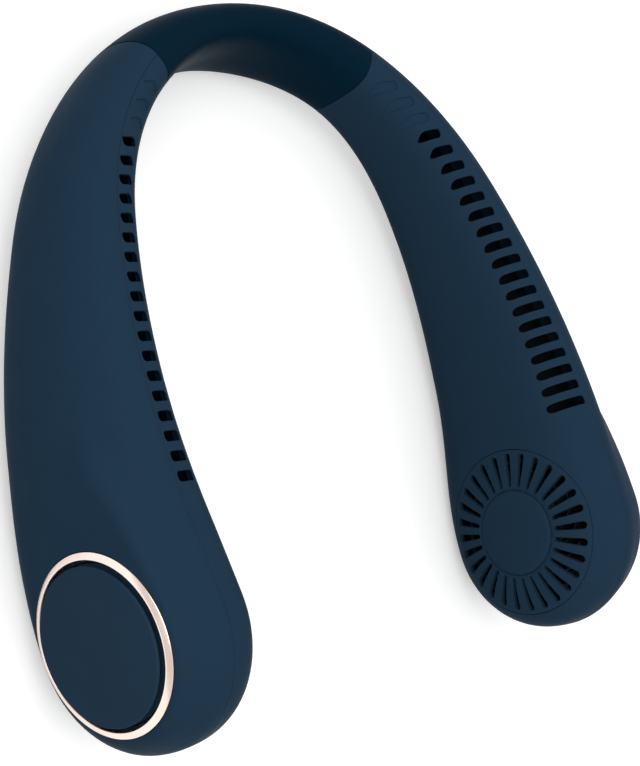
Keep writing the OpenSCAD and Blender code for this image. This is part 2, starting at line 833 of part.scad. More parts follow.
module magnet_ring() {
    on_axis(magnet_low)
        difference() {
            cylinder(r = magnet_r, h = magnet_h, $fn = round_fn);
            translate([0, 0, -over])
                cylinder(r = magnet_r - magnet_t, h = magnet_h + 2 * over, $fn = round_fn);
        }
}
module left_magnet_ring() { color(black) left() magnet_ring(); }
module right_magnet_ring() { color(black) stand() magnet_ring(); }

module shaft() {
    on_axis(hub_low)
        cylinder(r = shaft_r, h = plate_face - hub_low, $fn = round_fn);
}
module left_shaft() { color(silver) left() shaft(); }
module right_shaft() { color(silver) stand() shaft(); }

// The trim ring stands on the motor plate and shows as a bright band round the cap
ring_bevel = 0.3;
ring_r = fan_h / 2 - ring_rim;
ring_in_r = ring_r - ring_w;
ring_out = fan_w / 2 - ring_drop;
module trim_ring() {
    on_axis()
        rotate_extrude($fn = 2 * round_fn)
            polygon([
                [ring_in_r, plate_face + seat_gap], [ring_r, plate_face + seat_gap],
                [ring_r, ring_out - ring_slope], [ring_in_r + 2 * ring_bevel, ring_out],
                [ring_in_r + ring_bevel, ring_out], [ring_in_r, ring_out - ring_bevel]
            ]);
}
module left_trim_ring() { color(rose_gold) left() trim_ring(); }
module right_trim_ring() { color(rose_gold) stand() trim_ring(); }

// The cap stands on the motor plate, and air is drawn in through the gap round its rim
cap_r = ring_in_r - cap_gap;
cap_out = fan_w / 2 - cap_drop;
cap_skirt = 4;
cap_edge = 0.6;
cap_post_r = 4.2;
module outer_cap() {
    on_axis()
        rotate_extrude($fn = 2 * round_fn)
            polygon([
                [bearing_r + seat_gap, plate_face], [cap_post_r, plate_face],
                [cap_post_r, cap_out - cap_t], [cap_r - cap_t, cap_out - cap_t],
                [cap_r - cap_t, cap_out - cap_skirt], [cap_r, cap_out - cap_skirt],
                [cap_r, cap_out - cap_edge], [cap_r - cap_edge, cap_out],
                [0, cap_out], [0, cap_out - cap_t], [bearing_r + seat_gap, cap_out - cap_t]
            ]);
}
module left_outer_cap() { color(navy) left() outer_cap(); }
module right_outer_cap() { color(navy) stand() outer_cap(); }

// The air guide is the floor of the air channel, from the plug to the scroll
guide_t = 1.2;
guide_steps = 12;
guide_from = sleeve_s + plug_l + gap;
guide_to = s_fan - scroll_exit - scroll_t;
guide_up = mid_up(s_fan) - scroll_point(0, 0).y;
module air_guide() {
    stations = [for (i = [0 : guide_steps]) guide_from + (guide_to - guide_from) * i / guide_steps];
    function corner(s, up, side) =
        let (
            rise = up - mid_up(s),
            reach = min(face_out(s, rise, side, wall), face_out(s, rise - guide_t, side, wall)),
            p = path(s) + side * (reach - seat_gap) * outward(s)
        )
        [p.x, p.y, up];
    points = [
        for (s = stations)
            each [
                corner(s, guide_up, 1) - [0, 0, guide_t], corner(s, guide_up, 1),
                corner(s, guide_up, -1), corner(s, guide_up, -1) - [0, 0, guide_t]
            ]
    ];
    last = 4 * guide_steps;
    polyhedron(points, concat(
        flat(ring_faces(len(stations), 4)),
        [[0, 1, 2, 3], [last + 3, last + 2, last + 1, last]]
    ));
}
module left_air_guide() { color(black) left() air_guide(); }
module right_air_guide() { color(black) stand() air_guide(); }

// Places of the power button and of the main board's middle, set back from the fan housing
button_s = guide_to - button_back;
board_s = button_s + board_l / 8;
// Each battery is a flat pouch that fills the space under the air guide, behind the main board's
// place. It is straight, so the arm curves away from its ends by the sagitta of its length
battery_round = 2;
battery_s = board_s - board_l / 2 - 4 * battery_gap - battery_l / 2;
battery_sagitta = battery_l ^ 2 / arm_r / 8;
battery_top = guide_up - guide_t - gap;
battery_base =
    face_up(battery_s - battery_l / 2, battery_t / 2 + battery_sagitta, wall) + battery_gap;
battery_h = battery_top - battery_base;
module rounded_block(l, w, h, r) {
    linear_extrude(h)
        polygon([
            for (i = [0 : 3], a = [0 : 15 : 90])
                [
                    (i == 0 || i == 3 ? 1 : -1) * (l / 2 - r) + r * cos(90 * i + a),
                    (i < 2 ? 1 : -1) * (w / 2 - r) + r * sin(90 * i + a)
                ]
        ]);
}
module battery() {
    on_band(battery_s, -battery_t / 2, battery_top - battery_h / 2)
        rotate([-90, 0, 0])
            rounded_block(battery_l, battery_h, battery_t, battery_round);
}
module left_battery() { color(silver) left() battery(); }
module right_battery() { color(silver) stand() battery(); }

// Controls on the right arm's outer face: button, charge lights and charging port
button_up = mid_up(button_s) - button_low;
button_skin = face_out(button_s, -button_low, 1);
button_rise = 0.8;
button_edge = 0.4;
flange_w = 0.9;
flange_t = 1;
flange_out = face_out(button_s, -button_low - button_r - flange_w, 1, wall) - 2 * gap;
stem_r = 1.8;
stem_l = 1.2;
switch_h = 2.2;
switch_w = 5;
plunger_r = 1.5;
plunger_h = 1;
board_t = 1.2;
stem_out = flange_out - flange_t - stem_l;
board_face = stem_out - button_travel - run_gap - plunger_h - switch_h;
light_r = 0.9;
light_pitch = 3.4;
light_s = button_s + button_r + flange_w + gap + light_count * light_pitch / 2;
light_bar_w = 2.4;
light_rise = button_up - mid_up(light_s);
light_out = face_out(light_s, light_rise - light_r, 1, wall) - gap;
usb_w = 8.9;
usb_h = 3.2;
usb_t = 0.3;
usb_l = 8.5;
usb_gap = 1;
usb_s = button_s - switch_w / 2 - usb_gap - usb_w / 2;
usb_lead = 0.8;

module rod(from_out, to_out, r, fn = round_fn) {
    translate([0, from_out, 0])
        rotate([-90, 0, 0])
            cylinder(r = r, h = to_out - from_out, $fn = fn);
}
module button_hole() {
    on_band(button_s, 0, button_up)
        rod(0, fan_w, button_r + gap, cut_fn);
}
module power_button() {
    color(navy)
        stand()
            on_band(button_s, 0, button_up) {
                rod(stem_out, flange_out, stem_r);
                rod(flange_out - flange_t, flange_out, button_r + flange_w);
                rod(flange_out - flange_t, button_skin + button_rise - button_edge, button_r);
                rod(flange_out, button_skin + button_rise, button_r - button_edge);
            }
}
module button_switch() {
    color(black)
        stand()
            on_band(button_s, 0, button_up) {
                rod(board_face, board_face + switch_h + plunger_h, plunger_r);
                translate([-switch_w / 2, board_face, -switch_w / 2])
                    cube([switch_w, switch_h, switch_w]);
            }
}
module light_places() {
    on_band(light_s, 0, button_up)
        for (i = [0 : light_count - 1])
            translate([(i - (light_count - 1) / 2) * light_pitch, 0, 0])
                children();
}
module light_holes() {
    light_places()
        rod(0, fan_w, light_r + seat_gap, slot_fn);
}
module light_guide() {
    color(clear)
        stand() {
            light_places()
                rod(light_out - flange_t - board_t, face_out(light_s, light_rise, 1), light_r);
            on_band(light_s, 0, button_up)
                translate([-light_count * light_pitch / 2, light_out - flange_t - board_t, -light_bar_w / 2])
                    cube([light_count * light_pitch, board_t, light_bar_w]);
        }
}
module main_board() {
    color(board_green)
        stand()
            on_band(button_s, board_face - board_t, button_up)
                translate([board_s - button_s - board_l / 2, 0, -board_h / 2])
                    cube([board_l, board_t, board_h]);
}
usb_out = board_face + seat_gap + usb_h / 2;
usb_low = face_up(usb_s, usb_out) + usb_lead;
module usb_outline(grow) {
    square([usb_w - usb_h, usb_h + 2 * grow], center = true);
    for (side = [-1, 1])
        translate([side * (usb_w - usb_h) / 2, 0])
            circle(d = usb_h + 2 * grow, $fn = cut_fn);
}
module usb_place(low) {
    on_band(button_s, usb_out, low)
        translate([usb_s - button_s, 0, 0])
            children();
}
module usb_mouth() {
    usb_place(usb_low - 2 * usb_lead - over)
        linear_extrude(usb_l)
            usb_outline(seat_gap);
}
module usb_c_port() {
    color(silver)
        stand()
            usb_place(usb_low) {
                difference() {
                    linear_extrude(usb_l)
                        usb_outline(0);
                    translate([0, 0, -over])
                        linear_extrude(usb_l - usb_t + over)
                            usb_outline(-usb_t);
                }
                translate([-usb_w / 4, -usb_t, usb_lead])
                    cube([usb_w / 2, 2 * usb_t, usb_l - usb_lead]);
            }
}

neck_sleeve();
neck_spring_strip();
neck_harness();
left_neck_plug();
left_outer_shell();
left_inner_shell();
left_intake_grille();
left_trim_ring();
left_outer_cap();
left_fan_housing();
left_motor_screws();
left_motor_base();
left_stator();
left_bearing();
left_air_guide();
left_battery();
left_impeller();
left_rotor_cup();
left_magnet_ring();
left_shaft();
right_neck_plug();
right_outer_shell();
right_inner_shell();
right_intake_grille();
right_trim_ring();
right_outer_cap();
right_fan_housing();
right_motor_screws();
right_motor_base();
right_stator();
right_bearing();
right_air_guide();
right_battery();
right_impeller();
right_rotor_cup();
right_magnet_ring();
right_shaft();
main_board();
usb_c_port();
button_switch();
power_button();
light_guide();
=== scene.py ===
"""Looks of a neck fan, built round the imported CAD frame.

Two lacquered arms hang from a silicone neck sleeve. Each arm has a row of air slots along
its top, a slotted intake grille on the inner face, and a capped intake with a bright trim
ring on the outer face. Sizes are in millimetres as worn, and Stance sets them on the floor.
"""

import logging
import math
from collections import Counter
from dataclasses import dataclass, replace
from enum import Enum
from functools import partial
from typing import Callable, Sequence

import bpy
import numpy as np
from mathutils import Matrix, Vector
from mathutils.bvhtree import BVHTree


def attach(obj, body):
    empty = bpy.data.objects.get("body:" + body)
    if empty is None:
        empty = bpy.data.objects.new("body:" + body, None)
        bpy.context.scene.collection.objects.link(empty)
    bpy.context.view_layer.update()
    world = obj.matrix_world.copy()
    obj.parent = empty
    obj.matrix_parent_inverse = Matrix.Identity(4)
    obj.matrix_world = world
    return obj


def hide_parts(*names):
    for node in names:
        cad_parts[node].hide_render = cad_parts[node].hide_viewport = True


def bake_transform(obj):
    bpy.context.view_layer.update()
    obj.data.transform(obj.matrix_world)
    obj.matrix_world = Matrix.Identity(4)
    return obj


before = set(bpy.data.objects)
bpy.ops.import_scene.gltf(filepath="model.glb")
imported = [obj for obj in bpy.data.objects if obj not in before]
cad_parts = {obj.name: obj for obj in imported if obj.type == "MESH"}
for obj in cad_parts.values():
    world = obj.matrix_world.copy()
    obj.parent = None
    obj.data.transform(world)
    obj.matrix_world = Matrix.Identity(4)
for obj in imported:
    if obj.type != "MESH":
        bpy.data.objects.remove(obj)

log = logging.getLogger("neck_fan")

MM = 0.001
# How near points are merged, in metres, and the corners that stay sharp or are eased
MERGE = 1e-5
SMOOTH_ANGLE = math.radians(32)
EASED_ANGLE = math.radians(50)
# Sizes that several pieces share, in millimetres
SHELL_WALL = 1.8
FIT_GAP = 0.15
GRILLE_R = 25.2
Object = bpy.types.Object
Material = bpy.types.Material
Array = np.ndarray
Point = tuple[float, float, float]


class Side(Enum):
    """An arm, as seen from the open end of the U. The value is the sign of its X."""

    LEFT = -1
    RIGHT = 1

    @property
    def word(self) -> str:
        """The side's word in the names of pieces."""
        return self.name.lower()


class Face(Enum):
    """A face of the band: away from the neck, or towards it."""

    OUTER = 1
    INNER = -1


class Pattern(Enum):
    """How a surface was made, and so what its fine relief looks like."""

    PEEL = "orange peel of a sprayed lacquer"
    GRAIN = "even grain of a moulding"
    TURNED = "rings left by turning"
    BRUSHED = "lines left by drawing or brushing"
    WOUND = "turns of wound wire"


def to_linear(shade: str) -> tuple[float, float, float, float]:
    """Turns an sRGB shade into the linear colour that a shader takes.

    Args:
        shade: the colour as #rrggbb.

    Returns:
        Linear red, green, blue and an alpha of one.
    """
    values = [int(shade[i : i + 2], 16) / 255 for i in (1, 3, 5)]
    line = [v / 12.92 if v <= 0.04045 else ((v + 0.055) / 1.055) ** 2.4 for v in values]
    return (line[0], line[1], line[2], 1.0)


def select(*objects: Object) -> None:
    """Selects only these objects and makes the first one active.

    Args:
        objects: the objects, with the active one first.
    """
    bpy.ops.object.select_all(action="DESELECT")
    for obj in objects:
        obj.select_set(True)
    bpy.context.view_layer.objects.active = objects[0]


def points_of(obj: Object) -> Array:
    """The places of a mesh's points, one row each.

    Args:
        obj: the mesh.

    Returns:
        X, Y and Z of each point, in metres.
    """
    flat = np.empty(len(obj.data.vertices) * 3)
    obj.data.vertices.foreach_get("co", flat)
    return flat.reshape(-1, 3)


def set_points(obj: Object, places: Array) -> None:
    """Moves a mesh's points to these places."""
    obj.data.vertices.foreach_set("co", np.ascontiguousarray(places).ravel())
    obj.data.update()


def edit_all(obj: Object, *steps: Callable[[], object]) -> None:
    """Runs edit mode operators on a whole mesh.

    Args:
        obj: the mesh to edit.
        steps: the operators, in order, each as a call without arguments.
    """
    select(obj)
    bpy.ops.object.mode_set(mode="EDIT")
    bpy.ops.mesh.select_all(action="SELECT")
    for step in steps:
        step()
    bpy.ops.object.mode_set(mode="OBJECT")


def merge_doubles() -> None:
    """Merges points that lie together, in edit mode."""
    bpy.ops.mesh.remove_doubles(threshold=MERGE)


def face_outwards() -> None:
    """Turns the faces of a closed mesh outwards, in edit mode."""
    bpy.ops.mesh.normals_make_consistent(inside=False)


def signed_volume(obj: Object) -> float:
    """The volume inside a closed mesh, negative where its faces look inwards.

    Args:
        obj: the mesh.

    Returns:
        The volume, in cubic metres.
    """
    obj.data.calc_loop_triangles()
    corners = np.array([tuple(t.vertices) for t in obj.data.loop_triangles])
    a, b, c = (points_of(obj)[corners[:, i]] for i in range(3))
    return float(np.sum(a * np.cross(b, c))) / 6


def face_centres(obj: Object) -> Array:
    """The middles of a mesh's faces, one row each."""
    return np.array([p.center for p in obj.data.polygons])


def turn_faces(obj: Object, outward: Array) -> None:
    """Turns an open sheet over if its faces look the wrong way.

    Args:
        obj: the sheet, all of whose faces are wound alike.
        outward: where the faces should look, as one row for all or one for each.
    """
    normals = np.array([p.normal for p in obj.data.polygons])
    if np.sum(normals * outward) < 0:
        edit_all(obj, bpy.ops.mesh.flip_normals)


def finish_with(obj: Object, kind: str, **settings: object) -> None:
    """Adds a modifier with these settings and applies it.

    Args:
        obj: the piece.
        kind: the modifier's type.
        settings: its settings.
    """
    select(obj)
    modifier = obj.modifiers.new(kind.title(), kind)
    modifier.show_viewport = False
    for key, value in settings.items():
        setattr(modifier, key, value)
    bpy.ops.object.modifier_apply(modifier=modifier.name)


def smooth(obj: Object) -> None:
    """Shades a piece smooth, but for its sharp corners."""
    select(obj)
    bpy.ops.object.shade_smooth_by_angle(angle=SMOOTH_ANGLE)


def join(pieces: Sequence[Object]) -> Object:
    """Joins meshes into the first one.

    Args:
        pieces: the meshes, of which only the first is left.

    Returns:
        The first one.
    """
    select(*pieces)
    if len(pieces) > 1:
        bpy.ops.object.join()
    return pieces[0]


def drop(obj: Object) -> None:
    """Removes a helper object and its mesh.

    Args:
        obj: the helper.
    """
    mesh = obj.data
    bpy.data.objects.remove(obj)
    bpy.data.meshes.remove(mesh)


def thicken(obj: Object, wall: float) -> None:
    """Gives a sheet a wall of so many millimetres on its inner side."""
    finish_with(obj, "SOLIDIFY", thickness=wall * MM, offset=-1, use_even_offset=True)


def round_edges(
    obj: Object, chosen: Callable[[bpy.types.MeshEdge], bool], width: float, segments: int
) -> None:
    """Rounds some edges of a mesh.

    Args:
        obj: the mesh.
        chosen: tells whether an edge is one of them.
        width: how far the rounding reaches, in millimetres.
        segments: faces across it.
    """
    weights = obj.data.attributes.new("bevel_weight_edge", "FLOAT", "EDGE")
    for edge in obj.data.edges:
        weights.data[edge.index].value = float(chosen(edge))
    finish_with(obj, "BEVEL", width=width * MM, segments=segments, limit_method="WEIGHT")


def new_mesh(name: str, points: Sequence, edges: Sequence = (), faces: Sequence = ()) -> Object:
    """An object with a mesh of these points, edges and faces.

    Args:
        name: the object's name.
        points: X, Y and Z of each point.
        edges: the two points of each loose edge.
        faces: the points round each face.

    Returns:
        The new object.
    """
    mesh = bpy.data.meshes.new(name)
    mesh.from_pydata(points, edges, faces)
    obj = bpy.data.objects.new(name, mesh)
    bpy.context.scene.collection.objects.link(obj)
    return obj


def spin(obj: Object, steps: int, angle: float) -> None:
    """Spins a mesh about the Z axis and merges the points that meet.

    Args:
        obj: the mesh, with an outline or a face beside the axis.
        steps: faces of the turn.
        angle: the turn, in radians.
    """
    edit_all(
        obj,
        lambda: bpy.ops.mesh.spin(steps=steps, angle=angle, center=(0, 0, 0), axis=(0, 0, 1)),
        lambda: bpy.ops.mesh.select_all(action="SELECT"),
        merge_doubles,
    )


def mapped_grid(
    name: str, columns: int, rows: int, place: Callable[[Array, Array], Array]
) -> Object:
    """A grid whose points are laid on a surface.

    Args:
        name: the object's name.
        columns: faces along u.
        rows: faces along v.
        place: gives the row frame place of each point from its u and v, both 0 to 1.

    Returns:
        The laid sheet.
    """
    bpy.ops.mesh.primitive_grid_add(x_subdivisions=columns, y_subdivisions=rows, size=1)
    obj = bpy.context.object
    obj.name = name
    flat = points_of(obj)
    set_points(obj, place(flat[:, 0] + 0.5, flat[:, 1] + 0.5))
    return obj


def lip_steps(lip: float, spread: float = 1.7, clear: float = 2.0) -> list[tuple[float, float]]:
    """How a cutter flares where it leaves a skin, which gives the opening a soft lip.

    Args:
        lip: the lip's size.
        spread: how far the last outline is set outwards, in lips.
        clear: how far it stands above the skin.

    Returns:
        For each outline, how far it is set outwards and how deep below the skin it lies.
    """
    return [(0.0, lip), (0.3 * lip, 0.3 * lip), (1.7 * lip, -0.3 * lip), (spread * lip, -clear)]


def lofted(name: str, loops: Sequence[Array]) -> Object:
    """A closed cutter through outlines that mirror about their first and middle point.

    Args:
        name: the object's name.
        loops: outlines with the same even number of points, each a row of X, Y and Z.

    Returns:
        The cutter, its ends closed by a ladder of faces so that they can follow a curved skin.
    """
    n = len(loops[0])
    faces = [
        (i * n + j, i * n + (j + 1) % n, (i + 1) * n + (j + 1) % n, (i + 1) * n + j)
        for i in range(len(loops) - 1)
        for j in range(n)
    ]
    ladder = [(0, n - 1, 1), (n // 2 - 1, n // 2 + 1, n // 2)]
    ladder += [(k, n - k, n - k - 1, k + 1) for k in range(1, n // 2 - 1)]
    last = (len(loops) - 1) * n
    faces += ladder + [tuple(last + k for k in reversed(rung)) for rung in ladder]
    obj = new_mesh(name, np.concatenate(loops).tolist(), faces=faces)
    edit_all(obj, face_outwards)
    return obj


def revolved(name: str, profile: Sequence[tuple[float, float]], steps: int) -> Object:
    """Spins a profile round the Z axis into a closed solid.

    Args:
        name: the object's name.
        profile: radius and height of each corner, in millimetres. It closes on itself,
            unless both its ends lie on the axis.
        steps: faces of the full turn.

    Returns:
        The solid, round the Z axis, in metres.
    """
    count = len(profile)
    edges = [(i, i + 1) for i in range(count - 1)]
    if profile[0][0] > 0 or profile[-1][0] > 0:
        edges.append((count - 1, 0))
    obj = new_mesh(name, [(r * MM, 0.0, z * MM) for r, z in profile], edges)
    spin(obj, steps, 2 * math.pi)
    return obj


def rounded(corners: Sequence[Point], steps: int = 4) -> list[tuple[float, float]]:
    """Rounds the corners of an outline.

    Args:
        corners: the place of each corner and how far from it its arc starts, 0 for none.
        steps: segments of each arc.

    Returns:
        The outline with a curve in place of each rounded corner.
    """
    outline: list[tuple[float, float]] = []
    for i, (*at, radius) in enumerate(corners):
        here = Vector(at)
        if not radius:
            outline.append(tuple(here))
            continue
        before = Vector(corners[i - 1][:2])
        after = Vector(corners[(i + 1) % len(corners)][:2])
        start = here + (before - here).normalized() * radius
        end = here + (after - here).normalized() * radius
        for k in range(steps + 1):
            t = k / steps
            outline.append(tuple(start * (1 - t) ** 2 + here * 2 * t * (1 - t) + end * t**2))
    return outline


def bulge(half: Array | float, share: Array, power: Array | float) -> Array:
    """Half the thickness of a rounded section at a share of its half height."""
    return half * (1 - np.minimum(share, 1) ** power) ** (1 / power)


def ease(x: Array) -> Array:
    """Runs smoothly from 0 to 1 as x does."""
    t = np.clip(x, 0, 1)
    return 3 * t**2 - 2 * t**3


def moved(points: Array, move: Matrix) -> Array:
    """Rows of points, moved by a matrix."""
    rows = np.array(move)
    return points @ rows[:3, :3].T + rows[:3, 3]


@dataclass(frozen=True)
class Band:
    """The curved band that both arms and the sleeve are parts of, in millimetres as worn."""

    neck_r: float = 84.0
    neck_turn: float = math.radians(69.5)
    arm_r: float = 194.5
    arm_turn: float = math.radians(24.4)
    arm_run: float = 22.3
    widths: tuple[float, ...] = (13.6, 18.1, 23.0, 28.4, 33.2)
    heights: tuple[float, ...] = (30.0, 26.4, 36.4, 49.4, 60.2)
    out_top_square: float = 0.05
    out_low_square: float = 0.23
    in_square: float = 0.3
    round_ease: float = 0.35
    spread: float = 0.75

    @property
    def s_neck(self) -> float:
        """Where the neck arc ends, along the band."""
        return self.neck_r * self.neck_turn

    @property
    def s_arm(self) -> float:
        """Where the slower arc ends."""
        return self.s_neck + self.arm_r * self.arm_turn

    @property
    def s_fan(self) -> float:
        """Where the fan axis crosses the band."""
        return self.s_arm + self.arm_run

    def heading(self, s: Array) -> Array:
        """The path's turn at s, in radians.

        Args:
            s: places along the band, in millimetres from the nape.

        Returns:
            The turn since the nape, at each place.
        """
        on_neck = np.minimum(s, self.s_neck) / self.neck_r
        on_arm = np.clip(s - self.s_neck, 0, self.s_arm - self.s_neck) / self.arm_r
        return on_neck + on_arm

    def forward(self, s: Array) -> Array:
        """The path's direction towards the tip."""
        h = self.heading(s)
        return np.column_stack([np.cos(h), -np.sin(h)])

    def outward(self, s: Array) -> Array:
        """The direction away from the neck, square to the path."""
        h = self.heading(s)
        return np.column_stack([np.sin(h), np.cos(h)])

    def path(self, s: Array) -> Array:
        """Points of the band's middle line, seen from above.

        Args:
            s: places along the band, in millimetres from the nape.

        Returns:
            One row of X and Y a place.
        """
        s = np.atleast_1d(np.asarray(s, float))
        first = np.minimum(s, self.s_neck) / self.neck_r
        h = self.heading(s)
        run = np.maximum(s - self.s_arm, 0)
        at = self.neck_r * np.column_stack([np.sin(first), np.cos(first) - 1])
        at += self.arm_r * np.column_stack(
            [np.sin(h) - np.sin(first), np.cos(h) - np.cos(first)]
        )
        return at + run[:, None] * self.forward(s)

    def rise(self, angle: Array) -> Array:
        """Shares of the half height at angles round the section, closer near its edges."""
        return np.sign(np.sin(angle)) * np.abs(np.sin(angle)) ** self.spread

    def _along(self, stations: tuple[float, ...], s: Array) -> Array:
        """A size of the band at s, on a smooth curve through its five stations.

        Args:
            stations: the size at five even places from the nape to the fan axis.
            s: places along the band, in millimetres from the nape.

        Returns:
            The size at each place.
        """
        values = np.array(stations)
        slopes = np.zeros(len(values))
        slopes[1:-1] = (values[2:] - values[:-2]) / 2
        share = np.abs(np.atleast_1d(np.asarray(s, float))) / self.s_fan
        x = np.clip(share, 0, 1) * (len(values) - 1)
        i = np.minimum(x.astype(int), len(values) - 2)
        t = x - i
        return (
            (2 * t**3 - 3 * t**2 + 1) * values[i]
            + (t**3 - 2 * t**2 + t) * slopes[i]
            + (3 * t**2 - 2 * t**3) * values[i + 1]
            + (t**3 - t**2) * slopes[i + 1]
        )

    def width(self, s: Array) -> Array:
        """The band's thickness at s."""
        return self._along(self.widths, s)

    def height(self, s: Array) -> Array:
        """The band's height at s."""
        return self._along(self.heights, s)

    def mid_up(self, s: Array) -> Array:
        """The height of the band's middle. Its top edge is level, at zero."""
        return -self.height(s) / 2

    def middle(self, s: Array) -> Array:
        """Points of the band's middle line, as worn on the right arm."""
        return np.column_stack([self.path(s), self.mid_up(s)])

    def power(self, face: Array | int, share: Array) -> Array:
        """The power of the section's curve at a share of the half height.

        Args:
            face: 1 for the outer face and -1 for the inner one.
            share: shares of the half height above the band's middle.

        Returns:
            The power at each point.
        """
        outer = self.out_low_square + (self.out_top_square - self.out_low_square) * ease(
            (1 + share / self.round_ease) / 2
        )
        return 2 / (1 - np.where(np.asarray(face) < 0, self.in_square, outer))

    def skin(
        self, s: Array, reach: Array, rise: Array, face: Array | int, inset: float = 0.0
    ) -> Array:
        """Points of the band's skin.

        Args:
            s: places along the band.
            reach: shares of the half height past the fan axis, on the round end.
            rise: shares of the half height above the band's middle.
            face: 1 for the outer face and -1 for the inner one.
            inset: depth below the skin.

        Returns:
            One row of X, Y and Z a point, as worn, on the right arm.
        """
        half_h = self.height(s) / 2 - inset
        out = face * bulge(
            self.width(s) / 2 - inset, np.hypot(reach, rise), self.power(face, rise)
        )
        at = self.path(s) + (half_h * reach)[:, None] * self.forward(s)
        at += out[:, None] * self.outward(s)
        return np.column_stack([at, half_h * rise + self.mid_up(s)])

    def locate(self, at: Array) -> tuple[Array, Array]:
        """Finds points seen from above on the band.

        Args:
            at: rows of X and Y as worn, on the right arm.

        Returns:
            How far along the band each one is, and how far outward of its middle line.
        """
        neck = np.array([0, -self.neck_r])
        turn = np.array([math.sin(self.neck_turn), math.cos(self.neck_turn)])
        arm = neck + (self.neck_r - self.arm_r) * turn
        on_neck = np.arctan2(at[:, 0] - neck[0], at[:, 1] - neck[1])
        on_arm = np.arctan2(at[:, 0] - arm[0], at[:, 1] - arm[1])
        end = self.path(self.s_arm)[0]
        run = (at - end) @ self.forward(self.s_arm)[0]
        on_arm = self.s_neck + (on_arm - self.neck_turn) * self.arm_r
        past_neck = np.where(run > 0, self.s_arm + run, on_arm)
        s = np.where(on_neck <= self.neck_turn, on_neck * self.neck_r, past_neck)
        return s, np.sum((at - self.path(s)) * self.outward(s), axis=1)

    def top(self, at: Array) -> Array:
        """The height of the inner face's upper skin over points seen from above.

        Args:
            at: rows of X and Y as worn, on the right arm.

        Returns:
            The height over each point.
        """
        s, out = self.locate(at)
        share = np.abs(out) / (self.width(s) / 2)
        power = self.power(-1, share)
        return self.mid_up(s) + bulge(self.height(s) / 2, share, power)

    def crown(self, along: Array, up: Array, face: int, inset: float = 0.0) -> Array:
        """The skin's distance from the band's middle beside the fan axis.

        Args:
            along: distances from the axis towards the tip.
            up: distances above the axis.
            face: 1 for the outer face and -1 for the inner one.
            inset: depth below the skin.

        Returns:
            The distance at each point, always positive.
        """
        s = self.s_fan + np.minimum(along, 0)
        half_h = self.height(s) / 2 - inset
        rise = (up + self.mid_up(self.s_fan) - self.mid_up(s)) / half_h
        share = np.hypot(np.maximum(along, 0) / half_h, rise)
        return bulge(self.width(s) / 2 - inset, share, self.power(face, rise))


BAND = Band()


@dataclass(frozen=True)
class Stance:
    """How the worn frame stands on the floor: leaned back on the nape and both fan ends."""

    lean: float = math.radians(11.2988)
    shift_y: float = 93.3517
    shift_z: float = 29.507

    def matrix(self, side: Side) -> Matrix:
        """The move from the worn frame in millimetres to the row frame in metres.

        Args:
            side: the arm. The left one is a mirror image.

        Returns:
            The move, for that arm.
        """
        return (
            Matrix.Scale(MM, 4)
            @ Matrix.Translation((0, self.shift_y, self.shift_z))
            @ Matrix.Rotation(-self.lean, 4, "X")
            @ Matrix.Diagonal((side.value, 1, 1, 1))
        )

    def place(self, points: Array, side: Side) -> Array:
        """Moves rows of worn points in millimetres to the row frame in metres."""
        return moved(points, self.matrix(side))


STANCE = Stance()


def band_matrix(side: Side, s: float, up: float) -> Matrix:
    """The place of a part on the band: X to the tip, Y outward, Z up, in millimetres.

    Args:
        side: the arm.
        s: the place along the band.
        up: its height, as worn.

    Returns:
        The move from the part's own frame to the row frame.
    """
    at = BAND.path(s)[0]
    turn = Matrix.Rotation(-float(BAND.heading(s)), 4, "Z")
    return STANCE.matrix(side) @ Matrix.Translation((at[0], at[1], up)) @ turn


def axis_matrix(side: Side) -> Matrix:
    """The place of a part on a fan axis: X to the tip, Y down, Z outward, in millimetres."""
    up = float(BAND.mid_up(BAND.s_fan)[0])
    return band_matrix(side, BAND.s_fan, up) @ Matrix.Rotation(-math.pi / 2, 4, "X")


def beside_axis(side: Side, along: Array, up: Array, out: Array) -> Array:
    """Places in the row frame of points given in millimetres beside a fan axis.

    Args:
        side: the arm.
        along: distances from the axis towards the tip.
        up: distances above the axis.
        out: distances outward of the band's middle.

    Returns:
        One row a point, in metres.
    """
    return moved(np.column_stack([along, -up, out]), axis_matrix(side))


def put(obj: Object, place: Matrix) -> Object:
    """Sets a mesh modelled in metres at a place given in millimetres.

    Args:
        obj: the closed mesh, at the origin.
        place: its place, as band_matrix and axis_matrix give it.

    Returns:
        The same object, with its place in its mesh.
    """
    obj.data.transform(place @ Matrix.Scale(1 / MM, 4))
    edit_all(obj, face_outwards)
    if signed_volume(obj) < 0:
        edit_all(obj, bpy.ops.mesh.flip_normals)
    return obj


def add_node(
    tree: bpy.types.NodeTree, kind: str, inputs: dict | None = None, **settings: object
) -> bpy.types.Node:
    """Adds a shader node.

    Args:
        tree: the node tree.
        kind: the node's type name, without the ShaderNode that all of them begin with.
        inputs: values or sockets for its inputs, by name or number.
        settings: the node's own settings.

    Returns:
        The new node.
    """
    node = tree.nodes.new(f"ShaderNode{kind}")
    for key, value in settings.items():
        setattr(node, key, value)
    for key, value in (inputs or {}).items():
        if isinstance(value, bpy.types.NodeSocket):
            tree.links.new(value, node.inputs[key])
        else:
            node.inputs[key].default_value = value
    return node


def empty_tree(owner: Material | bpy.types.World) -> bpy.types.NodeTree:
    """The node tree of a material or a world, with no nodes in it.

    Args:
        owner: the material or the world.

    Returns:
        Its tree.
    """
    owner.use_nodes = True
    owner.node_tree.nodes.clear()
    return owner.node_tree


# A wave texture draws this many lines a metre at a scale of one
LINES_PER_SCALE = 20


